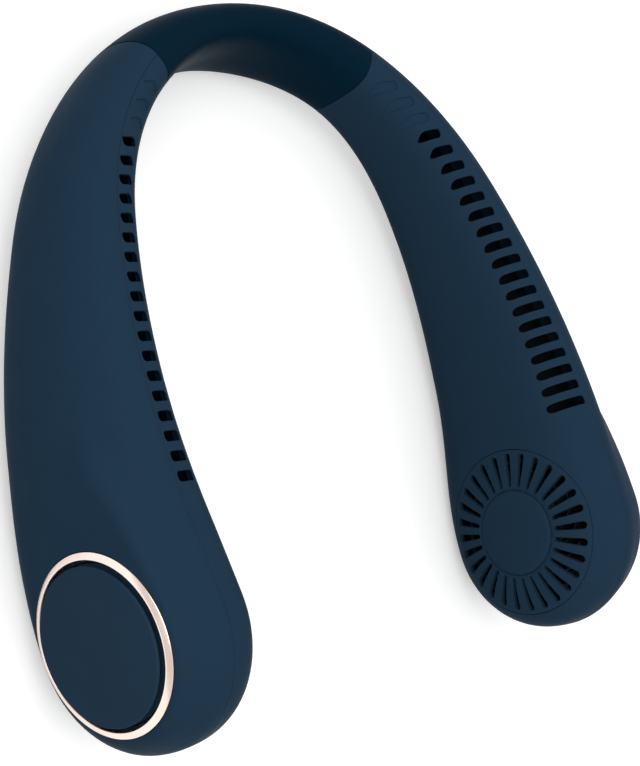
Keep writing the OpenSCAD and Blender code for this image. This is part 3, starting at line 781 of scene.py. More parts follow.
@dataclass(frozen=True)
class Finish:
    """A material: what it is made of and how its surface was made."""

    name: str
    shade: str
    drift_shade: str
    pattern: Pattern
    rough: tuple[float, float]
    pitch: float
    relief: float
    drift: float = 9.0
    metallic: float = 0.0
    ior: float = 1.5
    coat: float = 0.0
    see_through: float = 0.0
    gloss: float = 0.5

    def _relief(
        self, tree: bpy.types.NodeTree, place: bpy.types.NodeSocket
    ) -> bpy.types.NodeSocket:
        """The fine height pattern that the surface's making left.

        Args:
            tree: the material's nodes.
            place: where each point is.

        Returns:
            The height at each point.
        """
        per_metre = 1 / (self.pitch * MM)
        if self.pattern in (Pattern.TURNED, Pattern.WOUND, Pattern.BRUSHED):
            lines = per_metre / LINES_PER_SCALE
            return add_node(
                tree,
                "TexWave",
                {"Vector": place, "Scale": lines, "Distortion": 1.5, "Detail": 2.0},
                wave_type="RINGS" if self.pattern is Pattern.TURNED else "BANDS",
                rings_direction="Z",
                bands_direction="Z",
            ).outputs["Fac"]
        detail = 1.0 if self.pattern is Pattern.PEEL else 4.0
        return add_node(
            tree,
            "TexNoise",
            {"Vector": place, "Scale": per_metre, "Detail": detail, "Roughness": 0.6},
        ).outputs["Fac"]

    def material(self, centre: Matrix | None = None) -> Material:
        """Builds the material's nodes.

        Args:
            centre: the place of the piece's own axis in the row frame, for turned rings.

        Returns:
            The finished material.
        """
        made = bpy.data.materials.new(self.name)
        made.diffuse_color = to_linear(self.shade)
        tree = empty_tree(made)
        add = partial(add_node, tree)
        place = add("TexCoord").outputs["Object"]
        if centre is not None:
            back = centre.inverted()
            turn = {"Location": back.to_translation(), "Rotation": back.to_euler()}
            place = add("Mapping", {"Vector": place, **turn}).outputs["Vector"]
        scale = 1 / (self.drift * MM)
        drift = add("TexNoise", {"Vector": place, "Scale": scale, "Detail": 3.0}).outputs["Fac"]
        shades = {6: to_linear(self.shade), 7: to_linear(self.drift_shade)}
        shade = add("Mix", {0: drift, **shades}, data_type="RGBA")
        low, high = self.rough
        rough = add(
            "MapRange",
            {"Value": drift, "From Min": 0.3, "From Max": 0.7, "To Min": low, "To Max": high},
        )
        height = self._relief(tree, place)
        bump = add("Bump", {"Height": height, "Strength": 1.0, "Distance": self.relief * MM})
        values: dict = {
            "Base Color": shade.outputs[2],
            "Roughness": rough.outputs["Result"],
            "Normal": bump.outputs["Normal"],
            "Metallic": self.metallic,
            "Coat Weight": self.coat,
            "Transmission Weight": self.see_through,
            "Specular IOR Level": self.gloss,
        }
        if not self.metallic:
            values["IOR"] = self.ior
        add("OutputMaterial", {"Surface": add("BsdfPrincipled", values).outputs["BSDF"]})
        return made


metal = partial(Finish, metallic=1.0)
PEEL, GRAIN, TURNED, BRUSHED, WOUND = Pattern

# ABS sprayed with a satin lacquer: an even navy that breaks highlights into a soft glow
NAVY_LACQUER = Finish(
    "abs_satin_navy_lacquer", "#213749", "#1F3447", PEEL, (0.44, 0.5), 0.5, 0.004, gloss=0.01
)
NAVY_CAP_LACQUER = replace(
    NAVY_LACQUER, name="abs_satin_navy_cap_lacquer", shade="#24394B", drift_shade="#223648"
)
# Moulded silicone: darker and softer than the lacquer, with a faint bloom where it was handled
SLEEVE_SILICONE = Finish(
    "moulded_navy_silicone", "#051F2E", "#072131", GRAIN, (0.4, 0.48), 0.35, 0.006,
    ior=1.43, gloss=0.01,
)
# Turned and anodised aluminium: a warm pink gold with fine rings, drawn at 0.12 mm to show
ROSE_ALUMINIUM = metal(
    "turned_rose_gold_anodised_aluminium", "#F6E4DC", "#E8CDC1", TURNED, (0.2, 0.26), 0.12, 0.002
)
# Hardened strip steel with a blued skin
BLUED_STEEL = metal(
    "blued_spring_steel", "#5A6070", "#6B6A66", BRUSHED, (0.28, 0.36), 0.2, 0.002, 3.0
)
# Extruded PVC wire jacket, black and waxy
PVC_JACKET = Finish(
    "extruded_black_pvc", "#101114", "#15161A", GRAIN, (0.38, 0.46), 0.4, 0.006, 2.0, ior=1.53
)

# Finishes of the CAD nodes that keep their own shape, by the ends of the nodes' names
NODE_FINISHES = {
    # ABS from a spark eroded mould: black, with a dry fine grain
    ("neck_plug", "fan_housing", "air_guide", "button_switch"): Finish(
        "spark_textured_black_abs", "#14161A", "#101216", GRAIN, (0.5, 0.62), 0.15, 0.01, 2.5
    ),
    # Drawn steel with a zinc plate, a grey that clouds slightly
    ("motor_screws", "rotor_cup"): metal(
        "zinc_plated_drawn_steel", "#B9BABD", "#A9ABB0", BRUSHED, (0.3, 0.42), 0.2, 0.002, 1.5
    ),
    # Glass epoxy board under green solder mask, glossy with the cloth just showing
    ("motor_base", "main_board"): Finish(
        "green_solder_mask_on_glass_epoxy", "#0E4A2A", "#0B3F25", GRAIN, (0.22, 0.3), 0.6,
        0.01, 2.0, ior=1.55, coat=0.3,
    ),
    # Copper wire under clear enamel, laid in turns of 0.3 mm
    ("stator",): metal(
        "enamelled_copper_wire", "#C56F38", "#A6582A", WOUND, (0.24, 0.32), 0.3, 0.08, 1.0,
        coat=0.6,
    ),
    # Sintered bronze, matt with open pores
    ("bearing",): metal(
        "sintered_bronze", "#A9783F", "#8E6434", GRAIN, (0.42, 0.55), 0.12, 0.01, 0.8
    ),
    # Aluminium laminate pouch, silvery with soft creases
    ("battery",): metal(
        "laminated_aluminium_pouch", "#C3C5C9", "#B4B7BC", GRAIN, (0.25, 0.38), 3.0, 0.12, 6.0
    ),
    # Glass filled nylon: near black, with a slight mottle from the fibres
    ("impeller",): Finish(
        "moulded_glass_filled_nylon", "#1B1D20", "#24262A", GRAIN, (0.42, 0.55), 0.3, 0.008,
        1.2, ior=1.53,
    ),
    # Pressed and sintered ferrite, charcoal and slightly chalky
    ("magnet_ring",): Finish(
        "sintered_ferrite", "#2B2B2E", "#35353A", GRAIN, (0.5, 0.65), 0.1, 0.008, 1.0
    ),
    # Ground shaft steel, bright with fine lines
    ("shaft",): metal(
        "ground_shaft_steel", "#D2D4D6", "#C6C8CB", BRUSHED, (0.12, 0.18), 0.1, 0.001, 1.0
    ),
    # Deep drawn stainless port shell
    ("usb_c_port",): metal(
        "deep_drawn_stainless_steel", "#C4C6C9", "#B6B9BD", BRUSHED, (0.22, 0.3), 0.15,
        0.0015, 1.0,
    ),
    # Milky polycarbonate that spreads the light behind it
    ("light_guide",): Finish(
        "milky_polycarbonate", "#D5DDE4", "#CCD5DE", PEEL, (0.24, 0.3), 0.5, 0.002, 1.0,
        ior=1.58, see_through=0.35,
    ),
}


def dress(obj: Object, material: Material) -> None:
    """Gives a piece or a CAD node one material all over.

    Args:
        obj: the piece or the node.
        material: its finish.
    """
    if obj.data.materials:
        for i in range(len(obj.data.materials)):
            obj.data.materials[i] = material
    else:
        obj.data.materials.append(material)


def fit(obj: Object, body: str | None, node: str, slot: str, material: Material) -> None:
    """Puts a finished piece in the place of its CAD node.

    Args:
        obj: the finished piece.
        body: the body that it rides on, or None for a piece that is left without one.
        node: the CAD node that it stands for.
        slot: the record's material slot; not used.
        material: its finish.
    """
    dress(obj, material)
    if body is not None:
        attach(obj, body)
    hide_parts(node)
    log.info("%s: %d faces, for %s", obj.name, len(obj.data.polygons), node)


def shade_as_skin(obj: Object, skin: Object, reach: float = 0.01 * MM) -> None:
    """Shades a cut shell smooth, and as its uncut skin is wherever it still lies on it.

    Args:
        obj: the cut shell.
        skin: the uncut skin, which isn't kept.
        reach: how far from the skin a point may lie.
    """
    smooth(obj)
    smooth(skin)
    tree = BVHTree.FromPolygons(
        [v.co for v in skin.data.vertices], [tuple(p.vertices) for p in skin.data.polygons]
    )
    group = obj.vertex_groups.new(name="skin")
    near = [v.index for v in obj.data.vertices if tree.find_nearest(v.co, reach)[0] is not None]
    group.add(near, 1.0, "REPLACE")
    finish_with(
        obj,
        "DATA_TRANSFER",
        object=skin,
        use_loop_data=True,
        data_types_loops={"CUSTOM_NORMAL"},
        loop_mapping="POLYINTERP_LNORPROJ",
        vertex_group=group.name,
    )
    obj.vertex_groups.clear()
    drop(skin)


def carve(obj: Object, cutters: Sequence[Object]) -> None:
    """Cuts openings in a shell, with cutters that aren't kept.

    Args:
        obj: the shell.
        cutters: one closed mesh or more.
    """
    tool = join(cutters)
    finish_with(obj, "BOOLEAN", object=tool, operation="DIFFERENCE", solver="EXACT")
    drop(tool)


@dataclass
class Sleeve:
    """The silicone sleeve over the nape, and the strip and wires that run along it."""

    end: float = 47.85
    wall: float = 2.4
    columns: int = 48
    around: int = 96
    lip: float = 0.35
    bend_from: float = 10.0
    bend_to: float = 38.0
    strip_h: float = 9.0
    strip_t: float = 0.8
    strip_reach: float = 51.5
    harness_d: float = 3.2
    harness_gap: float = 0.3
    harness_reach: float = 58.2
    harness_sides: int = 20
    neck_steps: int = 40
    end_cosine: float = 0.7

    def _bend(self, obj: Object, side: Side) -> None:
        """Bakes a piece's place into its mesh. The band's middle points where it would bend are
        found, but nothing uses them.
        """
        start, end = STANCE.place(BAND.middle(np.array([self.bend_from, self.bend_to])), side)
        tuple(start)
        tuple(end)
        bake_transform(obj)

    def _tube(self, name: str, side: Side, start: float) -> Object:
        """An open tube on the band's skin, from one place along it to the sleeve's end.

        Args:
            name: the object's name.
            side: the arm that it runs to.
            start: where it starts along the band.

        Returns:
            The tube, with its faces outwards.
        """

        def place(u: Array, v: Array) -> Array:
            """Lays u along the band and v round it.

            Args:
                u: shares of the length.
                v: shares of the turn.

            Returns:
                One row a point, in metres.
            """
            angle = v * 2 * np.pi
            face = np.where(np.cos(angle) < 0, -1, 1)
            s = start + (self.end - start) * u
            return STANCE.place(BAND.skin(s, 0 * s, BAND.rise(angle), face), side)

        steps = round(self.columns * (self.end - start) / self.end)
        tube = mapped_grid(name, steps, self.around, place)
        edit_all(tube, merge_doubles)
        line = STANCE.place(BAND.middle(np.linspace(start, self.end, 4 * steps)), side)
        centres = face_centres(tube)
        nearest = np.argmin(((centres[:, None] - line[None]) ** 2).sum(2), axis=1)
        turn_faces(tube, centres - line[nearest])
        return tube

    def _round_end(self, half: Object, side: Side) -> None:
        """Rounds the edges at a half sleeve's outer end.

        Args:
            half: the half sleeve, with its wall.
            side: the arm that it runs to.
        """
        place = np.array(band_matrix(side, self.end, float(BAND.mid_up(self.end)[0])))
        ahead = place[:3, 0] / np.linalg.norm(place[:3, 0])
        borders: Counter = Counter()
        for face in half.data.polygons:
            near = abs(np.dot(np.array(face.center) - place[:3, 3], ahead)) < self.wall * MM
            if near and abs(np.dot(face.normal, ahead)) > self.end_cosine:
                borders.update(face.edge_keys)
        round_edges(half, lambda edge: borders[edge.key] == 1, self.lip, 3)

    def _half(self, side: Side) -> Object:
        """Half of the sleeve, with a wall and a rounded outer end.

        Args:
            side: the arm that it runs to.

        Returns:
            The finished half.
        """
        half = self._tube(f"{side.word}_half_sleeve", side, 0.0)
        skin = self._tube("sleeve_skin", side, -self.end / 4)
        thicken(half, self.wall)
        self._round_end(half, side)
        shade_as_skin(half, skin)
        return half

    def _along_neck(
        self, name: str, side: Side, outline: Sequence[tuple[float, float]], reach: float
    ) -> Object:
        """Spins an outline round the neck's centre, from the nape to one side.

        Args:
            name: the object's name.
            side: the arm that it runs to.
            outline: how far outward of the band's middle and how high each corner is.
            reach: how far it runs along the band.

        Returns:
            The finished piece.
        """
        corners = [(0.0, (BAND.neck_r + r) * MM, z * MM) for r, z in outline]
        obj = new_mesh(name, corners, faces=[tuple(range(len(corners)))])
        spin(obj, self.neck_steps, reach / BAND.neck_r)
        put(obj, STANCE.matrix(side) @ Matrix.Translation((0, -BAND.neck_r, 0)))
        smooth(obj)
        return obj

    def build(self) -> None:
        """Builds and fits the sleeve, the spring strip and the wire bundle, half by half."""
        silicone = SLEEVE_SILICONE.material()
        steel = BLUED_STEEL.material()
        jacket = PVC_JACKET.material()
        up = -BAND.heights[1] / 2
        h, t, r = self.strip_h / 2, self.strip_t / 2, self.harness_d / 2
        strip = [(-t, up - h), (t, up - h), (t, up + h), (-t, up + h)]
        low = up - h - self.harness_gap - r
        turns = [2 * math.pi * i / self.harness_sides for i in range(self.harness_sides)]
        bundle = [(r * math.cos(a), low + r * math.sin(a)) for a in turns]
        for side in Side:
            spring = f"{side.word}_half_strip", side, strip, self.strip_reach
            wires = f"{side.word}_half_harness", side, bundle, self.harness_reach
            for piece, node, slot, material in (
                (self._half(side), "neck_sleeve", "sleeve_silicone", silicone),
                (self._along_neck(*spring), "neck_spring_strip", "spring_steel", steel),
                (self._along_neck(*wires), "neck_harness", "wire_jacket", jacket),
            ):
                self._bend(piece, side)
                fit(piece, None, node, slot, material)


@dataclass
class Slots:
    """The air slots along the top of an arm's inner shell, and the blind ones before them."""

    count: int = 18
    blind: int = 3
    pitch: float = 5.2
    width: float = 2.7
    start: float = 38.0
    blind_depth: float = 0.45
    depth: float = 14.0
    lip: float = 0.3
    undercut: float = 0.45
    inner_cut: float = 0.0
    outer_cut: float = 1.2
    under_wall: float = 1.9
    square: float = 0.7
    in_shares: tuple[float, float] = (0.83, 0.83)
    out_shares: tuple[float, float] = (0.35, 0.16)
    blind_shares: tuple[float, float] = (0.88, 0.3)
    arc_steps: int = 8
    run_steps: int = 8

    def outline(self, inner: float, outer: float, y: float, grow: float) -> Array:
        """A slot's outline seen from above: straight sides and rounded ends.

        Args:
            inner: X of the end near the neck.
            outer: X of the other end.
            y: the slot's place along the arm.
            grow: how far the outline is set outwards.

        Returns:
            Rows of X and Y from the outer end, mirrored about the slot's middle line.
        """
        r = self.width / 2 + grow
        a, b = inner + self.width / 2, outer - self.width / 2
        quarter = np.linspace(0, np.pi / 2, self.arc_steps + 1)
        run = np.linspace(b, a, self.run_steps + 1)[1:-1]
        falls = np.abs(np.cos(quarter)) ** self.square
        rises = np.sin(quarter) ** self.square
        falls[-1] = 0.0
        x = np.concatenate([b + r * falls, run, a - r * rises])
        up = np.concatenate([r * rises, 0 * run + r, r * falls])
        upper = np.column_stack([x, y + up])
        lower = np.column_stack([x, y - up])[1:-1][::-1]
        return np.concatenate([upper, lower])

    def cutter(self, i: int, side: Side) -> Object:
        """The cutter of one slot, flared at the skin into a rounded lip.

        Args:
            i: the slot's number from the nape, below 0 for a blind one.
            side: the arm.

        Returns:
            The cutter, at its place.
        """
        y = -self.start - i * self.pitch
        s = self._s_at(y)
        half = float(BAND.width(s)[0]) / 2 / math.sin(float(BAND.heading(s)))
        t = max(i, 0) / (self.count - 1)
        shares = [a + (b - a) * t for a, b in (self.in_shares, self.out_shares)]
        if i < 0:
            shares = self.blind_shares
        inner, outer = (float(BAND.path(s)[0][0]) - half * share for share in shares)

        def lay(outline: Array, drop_by: float) -> Array:
            """Lays an outline so many millimetres under the skin."""
            return np.column_stack([outline, BAND.top(outline) - drop_by])

        steps = lip_steps(self.lip)
        if i < 0:
            steps = steps[1:]
            loops = [lay(self.outline(inner, outer, y, 0.0), self.blind_depth)]
        else:
            under = self.outline(inner - self.inner_cut, outer + self.outer_cut, y, self.undercut)
            deep = np.column_stack([under, 0 * under[:, 0] - self.depth])
            loops = [deep, lay(under, self.under_wall)]
        loops += [lay(self.outline(inner, outer, y, grow), drop_by) for grow, drop_by in steps]
        return lofted("slot_cutter", [STANCE.place(loop, side) for loop in loops])

    def _s_at(self, y: float) -> float:
        """Where the band's middle line is at a given distance in front of the nape."""
        s = np.linspace(0, BAND.s_fan, 4001)
        return float(np.interp(-y, -BAND.path(s)[:, 1], s))

    def cutters(self, side: Side) -> Object:
        """All the slots of an arm as one cutter."""
        return join([self.cutter(i, side) for i in range(-self.blind, self.count)])


# The slots sit further out on the left arm, as the photograph shows them
SLOTS = {
    Side.LEFT: Slots(
        inner_cut=1.2, outer_cut=0.0, in_shares=(0.48, 0.5), out_shares=(0.08, 0.07),
        blind_shares=(0.56, 0.2),
    ),
    Side.RIGHT: Slots(),
}


@dataclass(frozen=True)
class Trim:
    """The round intake's place on the outer face, and how it slants with the skin."""

    shift: float = -0.7
    along_slope: float = -0.0157
    cap_slope: float = 0.047
    ring_slope: float = 0.05
    ring_r: float = 23.7
    ring_edge: float = 13.8
    skin_r: float = 30.1
    stretch: float = 0.6
    more_stretch: float = 0.15
    fade: float = 8.0
    lift_from: float = -12.0
    lift_run: float = 17.0
    ease_from: float = 8.0
    ease_run: float = 12.0

    def matrix(self, side: Side, up_slope: float) -> Matrix:
        """The axis frame, moved to the intake and sheared so that its planes slant.

        Args:
            side: the arm.
            up_slope: how far out a plane leans for each millimetre up.

        Returns:
            The move, as axis_matrix gives it.
        """
        slant = Matrix.Identity(4)
        slant[2][0] = self.along_slope
        slant[2][1] = -up_slope
        return axis_matrix(side) @ Matrix.Translation((self.shift, 0, 0)) @ slant

    def collar(self, along: Array, up: Array, out: Array) -> Array:
        """Draws the outer skin to the ring's edge, and lets it go again further out.

        Args:
            along: distances from the fan axis towards the tip.
            up: distances above the axis.
            out: the plain skin's distance from the band's middle.

        Returns:
            The distance of the skin that meets the ring.
        """
        x = along - self.shift
        edge = self.ring_edge + self.along_slope * x + self.ring_slope * up
        rise = (edge - out) * ease(out / self.fade)
        bend = np.sqrt(rise**2 + 1)
        lift = ease((up - self.lift_from) / self.lift_run)
        stretch = self.stretch - self.more_stretch * ease((up - self.ease_from) / self.ease_run)
        run = x * np.where(x < 0, stretch, 1)
        share = (np.hypot(run, up) - self.ring_r) / (self.skin_r - self.ring_r)
        return out + ((rise + bend) * lift + rise - bend) / 2 * (1 - ease(share)) * (out > 0)


TRIM = Trim()


@dataclass
class Arm:
    """An arm's two shells and what shows on them."""

    side: Side
    start: float = 48.15
    columns: int = 106
    rows: int = 48
    edge: float = 0.22
    opening_steps: int = 144
    opening_lip: float = 0.2
    opening_clear: float = 9.0

    def _skin(self, s: Array, reach: Array, rise: Array, face: int) -> Array:
        """The band's skin, drawn to the ring on the outer face.

        Args:
            s: places along the band, in millimetres from the nape.
            reach: shares of the half height past the fan axis, on the round end.
            rise: shares of the half height above the band's middle.
            face: 1 for the outer face and -1 for the inner one.

        Returns:
            One row a point, in metres.
        """
        worn = BAND.skin(s, reach, rise, face)
        if face > 0:
            turn = BAND.outward(BAND.s_fan)[0]
            offset = worn[:, :2] - BAND.path(BAND.s_fan)[0]
            along, out = offset @ BAND.forward(BAND.s_fan)[0], offset @ turn
            up = worn[:, 2] - BAND.mid_up(BAND.s_fan)
            worn[:, :2] += (TRIM.collar(along, up, out) - out)[:, None] * turn
        return STANCE.place(worn, self.side)

    def _sheet(self, name: str, face: Face) -> Object:
        """The skin of half an arm: a strip along the arm and a fan of rays round its end.

        Args:
            name: the object's name.
            face: which half.

        Returns:
            The sheet, with its faces outwards.
        """

        def strip(u: Array, v: Array) -> Array:
            """Lays u along the arm and v from its top edge down."""
            s = self.start + (BAND.s_fan - self.start) * u
            return self._skin(s, 0 * s, BAND.rise(np.pi * (0.5 - v)), face.value)

        def end(u: Array, v: Array) -> Array:
            """Lays u round the fan's end and v from its middle out.

            Args:
                u: shares of the half turn.
                v: shares of the way out.

            Returns:
                One row a point, in metres.
            """
            turn = np.pi * (0.5 - u)
            r = np.abs(np.sin(v * np.pi / 2)) ** BAND.spread
            s = BAND.s_fan + 0 * u
            return self._skin(s, r * np.cos(turn), r * np.sin(turn), face.value)

        along_arm = mapped_grid(name, self.columns, self.rows, strip)
        sheet = join([along_arm, mapped_grid("round_end", self.rows, self.rows // 2, end)])
        edit_all(sheet, merge_doubles, face_outwards)
        outward = np.array(band_matrix(self.side, BAND.s_arm, 0.0))[:3, 1]
        turn_faces(sheet, outward * face.value)
        return sheet

    def _opening(self, face: Face, radius: float) -> Object:
        """The cutter of the round opening for the ring or the grille, with a fine lip.

        Args:
            face: which half.
            radius: the radius of what sits in it.

        Returns:
            The cutter, at its place.
        """
        turn = 2 * np.pi * np.arange(self.opening_steps) / self.opening_steps
        outer = face is Face.OUTER

        def loop(grow: float, drop_by: float | None) -> Array:
            """One outline of the cutter.

            Args:
                grow: how far it is set outwards.
                drop_by: how deep below the skin it lies, or None for the one inside the arm.

            Returns:
                One row a point, in metres.
            """
            r = radius + FIT_GAP + grow
            along, up = r * np.cos(turn) + TRIM.shift * outer, r * np.sin(turn)
            skin = BAND.crown(along, up, face.value)
            if outer:
                skin = TRIM.collar(along, up, skin)
            out = SHELL_WALL + 0 * skin if drop_by is None else skin - drop_by
            return beside_axis(self.side, along, up, face.value * out)

        steps = [(0.0, None), *lip_steps(self.opening_lip, 2.0, self.opening_clear)]
        return lofted("opening_cutter", [loop(*step) for step in steps])

    def _shell(self, face: Face, cutters: list[Object]) -> Object:
        """Half of the arm: a skin with a wall, eased edges and its openings.

        Args:
            face: which half.
            cutters: the cutters of its openings.

        Returns:
            The finished shell.
        """
        shell = self._sheet(f"{self.side.word}_{face.name.lower()}_shell_skin", face)
        skin = self._sheet("uncut_skin", face)
        thicken(shell, SHELL_WALL)
        eased = {"limit_method": "ANGLE", "angle_limit": EASED_ANGLE}
        finish_with(shell, "BEVEL", width=self.edge * MM, segments=2, **eased)
        carve(shell, cutters)
        shade_as_skin(shell, skin)
        return shell

    def build(self, lacquer: Material, more_cuts: list[Object]) -> None:
        """Builds and fits both shells.

        Args:
            lacquer: the shells' finish.
            more_cuts: cutters of other openings in the outer shell.
        """
        slots = SLOTS[self.side].cutters(self.side)
        openings = {
            Face.OUTER: [self._opening(Face.OUTER, TRIM.ring_r), *more_cuts],
            Face.INNER: [self._opening(Face.INNER, GRILLE_R), slots],
        }
        for face, cutters in openings.items():
            shell = self._shell(face, cutters)
            node = f"{self.side.word}_{face.name.lower()}_shell"
            fit(shell, f"{self.side.word}_arm", node, "navy_shell", lacquer)


@dataclass
class Intake:
    """The trim ring, the cap and the grille of one fan."""

    side: Side
    ring_in_r: float = 21.6
    ring_low: float = 9.0
    ring_rise: float = 0.9
    bright_edge: float = 0.3
    wall_slope: float = 0.9
    wall_run: float = 2.4
    cap_r: float = 20.5
    cap_out: float = 16.0
    cap_t: float = 1.6
    cap_rim: float = 0.9
    cap_skirt: float = 4.0
    skirt_back: float = 2.4
    skirt_t: float = 1.2
    flange_w: float = 0.1
    flange_t: float = 0.8
    cap_crown: float = 0.4
    post_r: float = 4.2
    post_in_r: float = 2.75
    plate_face: float = 6.2
    turn_steps: int = 192
    disc_r: float = 12.8
    disc_rise: float = 0.5
    groove: float = 0.35
    rim_ease: float = 0.18
    slots: int = 28
    slot_w: float = 2.3
    slot_in_w: float = 1.2
    slot_lip: float = 0.3
    tip_points: int = 7
    root_points: int = 6
    side_points: int = 8

    def _ring(self) -> Object:
        """The turned trim ring: a sloping satin face and a bright inner edge.

        Returns:
            The ring, at its place.
        """
        top = TRIM.ring_edge + self.ring_rise
        low_r = self.ring_in_r - self.wall_slope
        corners = [
            (low_r, self.ring_low, 0.1),
            (TRIM.ring_r, self.ring_low, 0.1),
            (TRIM.ring_r, TRIM.ring_edge, 0.25),
            (self.ring_in_r + 2 * self.bright_edge, top, 0.12),
            (self.ring_in_r + self.bright_edge, top, 0.08),
            (self.ring_in_r, top - self.bright_edge, 0.1),
            (low_r, top - self.wall_run, 0.2),
        ]
        ring = revolved(f"{self.side.word}_ring", rounded(corners), self.turn_steps)
        return put(ring, TRIM.matrix(self.side, TRIM.ring_slope))

    def _cap(self) -> Object:
        """The cap: a shallow crowned disc with a soft rim, a skirt and a hollow post.

        Returns:
            The cap, at its place.
        """
        under = self.cap_out - self.cap_t
        rim = self.cap_out - self.cap_rim
        low = self.cap_out - self.cap_skirt
        skirt_r = self.cap_r - self.skirt_back
        flange_r = self.cap_r + self.flange_w
        corners = [
            (self.cap_r * 0.92 * t, self.cap_out + self.cap_crown * (1 - t**2), 0.0)
            for t in (0.0, 0.2, 0.4, 0.6, 0.75, 0.88)
        ]
        corners += [
            (self.cap_r, self.cap_out - 0.05, 0.6),
            (self.cap_r, rim, 0.2),
            (skirt_r, rim - 0.2, 0.1),
            (skirt_r, low + self.flange_t, 0.2),
            (flange_r, low + self.flange_t, 0.2),
            (flange_r, low, 0.2),
            (skirt_r - self.skirt_t, low, 0.2),
            (skirt_r - self.skirt_t, under, 0.2),
            (self.post_r, under, 0.4),
            (self.post_r, self.plate_face, 0.1),
            (self.post_in_r, self.plate_face, 0.1),
            (self.post_in_r, under, 0.1),
            (0.0, under, 0.0),
        ]
        cap = revolved(f"{self.side.word}_cap", rounded(corners, 6), self.turn_steps)
        return put(cap, TRIM.matrix(self.side, TRIM.cap_slope))

    def _grille_cutter(self, i: int) -> Object:
        """The cutter of one tapered grille slot, flared where it meets the skin.

        Args:
            i: the slot's number.

        Returns:
            The cutter, at its place.
        """
        turn = 2 * math.pi * i / self.slots
        r_in, r_out = self.slot_in_w / 2, self.slot_w / 2
        x_in = self.disc_r + self.slot_w / 2 + r_in
        x_out = GRILLE_R - self.slot_w / 2 - r_out
        lean = np.pi / 2 + math.asin((r_out - r_in) / (x_out - x_in))
        side = np.linspace(0, 1, self.side_points + 2)[1:-1, None]

        def arc(x: float, r: float, first: float, last: float, points: int) -> Array:
            """Points of an arc whose middle is at x."""
            angle = np.linspace(first, last, points)
            return np.column_stack([x + r * np.cos(angle), r * np.sin(angle)])

        def loop(grow: float, drop_by: float | None) -> Array:
            """One outline of the cutter.

            Args:
                grow: how far it is set outwards.
                drop_by: how deep below the skin it lies, or None for the one inside the arm.

            Returns:
                One row a point, in metres.
            """
            tip = arc(x_out, r_out + grow, 0, lean, self.tip_points)
            root = arc(x_in, r_in + grow, lean, np.pi, self.root_points)
            half = np.concatenate([tip, tip[-1] + side * (root[0] - tip[-1]), root])
            half[[0, -1], 1] = 0.0
            x, w = np.concatenate([half, half[1:-1][::-1] * (1, -1)]).T
            along = x * math.cos(turn) - w * math.sin(turn)
            up = x * math.sin(turn) + w * math.cos(turn)
            skin = BAND.crown(along, up, -1)
            out = 2 * SHELL_WALL + 0 * skin if drop_by is None else skin - drop_by
            return beside_axis(self.side, along, up, -out)

        steps = [(0.0, None), *lip_steps(self.slot_lip)]
        return lofted("grille_cutter", [loop(*step) for step in steps])

    def _grille_sheet(self, name: str) -> Object:
        """The grille's face: the arm's own skin with a proud disc inside a fine groove.

        Args:
            name: the object's name.

        Returns:
            The sheet, with its faces outwards.
        """
        rise, edge, low, rim = self.disc_rise, self.disc_r, -self.groove, self.rim_ease
        rings = [
            (0.0, rise + 0.15),
            (4.0, rise + 0.1),
            (8.0, rise),
            (11.0, 0.42),
            (edge - 0.7, 0.38),
            (edge - 0.3, 0.3),
            (edge - 0.1, 0.12),
            (edge, low),
            (edge + 0.3, low),
            (edge + 0.35, low / 3),
            (edge + 0.55, 0.0),
        ]
        rings += [(r, 0.0) for r in np.linspace(edge + 1.5, GRILLE_R - 2 * rim, 12)]
        rings += [(GRILLE_R - 0.3 * rim, -0.3 * rim), (GRILLE_R, -rim)]
        radii, rises = np.array(rings).T

        def disc(u: Array, v: Array) -> Array:
            """Lays u round the disc and v from its middle out.

            Args:
                u: shares of the turn.
                v: shares of the way out, ring by ring.

            Returns:
                One row a point, in metres.
            """
            k = np.rint(v * (len(rings) - 1)).astype(int)
            along, up = radii[k] * np.cos(2 * np.pi * u), radii[k] * np.sin(2 * np.pi * u)
            return beside_axis(self.side, along, up, -BAND.crown(along, up, -1) - rises[k])

        sheet = mapped_grid(name, 6 * self.slots, len(rings) - 1, disc)
        edit_all(sheet, merge_doubles)
        turn_faces(sheet, -np.array(axis_matrix(self.side))[:3, 2])
        return sheet

    def _grille(self) -> Object:
        """The intake grille: radial slots round a plain disc.

        Returns:
            The finished grille.
        """
        grille = self._grille_sheet(f"{self.side.word}_grille")
        skin = self._grille_sheet("uncut_grille")
        front = len(grille.data.vertices)
        thicken(grille, SHELL_WALL)
        place = np.array(axis_matrix(self.side))
        places = points_of(grille)
        local = (places[:front] - place[:3, 3]) @ np.linalg.inv(place[:3, :3]).T
        along, up = local[:, 0], -local[:, 1]
        back = -BAND.crown(along, up, -1, SHELL_WALL)
        places[front:] = beside_axis(self.side, along, up, back)
        set_points(grille, places)
        carve(grille, [self._grille_cutter(i) for i in range(self.slots)])
        shade_as_skin(grille, skin)
        return grille

    def build(self, lacquer: Material, cap_lacquer: Material) -> None:
        """Builds and fits the ring, the cap and the grille.

        Args:
            lacquer: the grille's finish, as on the shells.
            cap_lacquer: the cap's finish.
        """
        body, word = f"{self.side.word}_arm", self.side.word
        rose = ROSE_ALUMINIUM.material(axis_matrix(self.side) @ Matrix.Scale(1 / MM, 4))
        for piece, node, slot, material in (
            (self._ring(), "trim_ring", "rose_trim", rose),
            (self._cap(), "outer_cap", "navy_cap", cap_lacquer),
        ):
            smooth(piece)
            fit(piece, body, f"{word}_{node}", slot, material)
        fit(self._grille(), body, f"{word}_intake_grille", "navy_shell", lacquer)


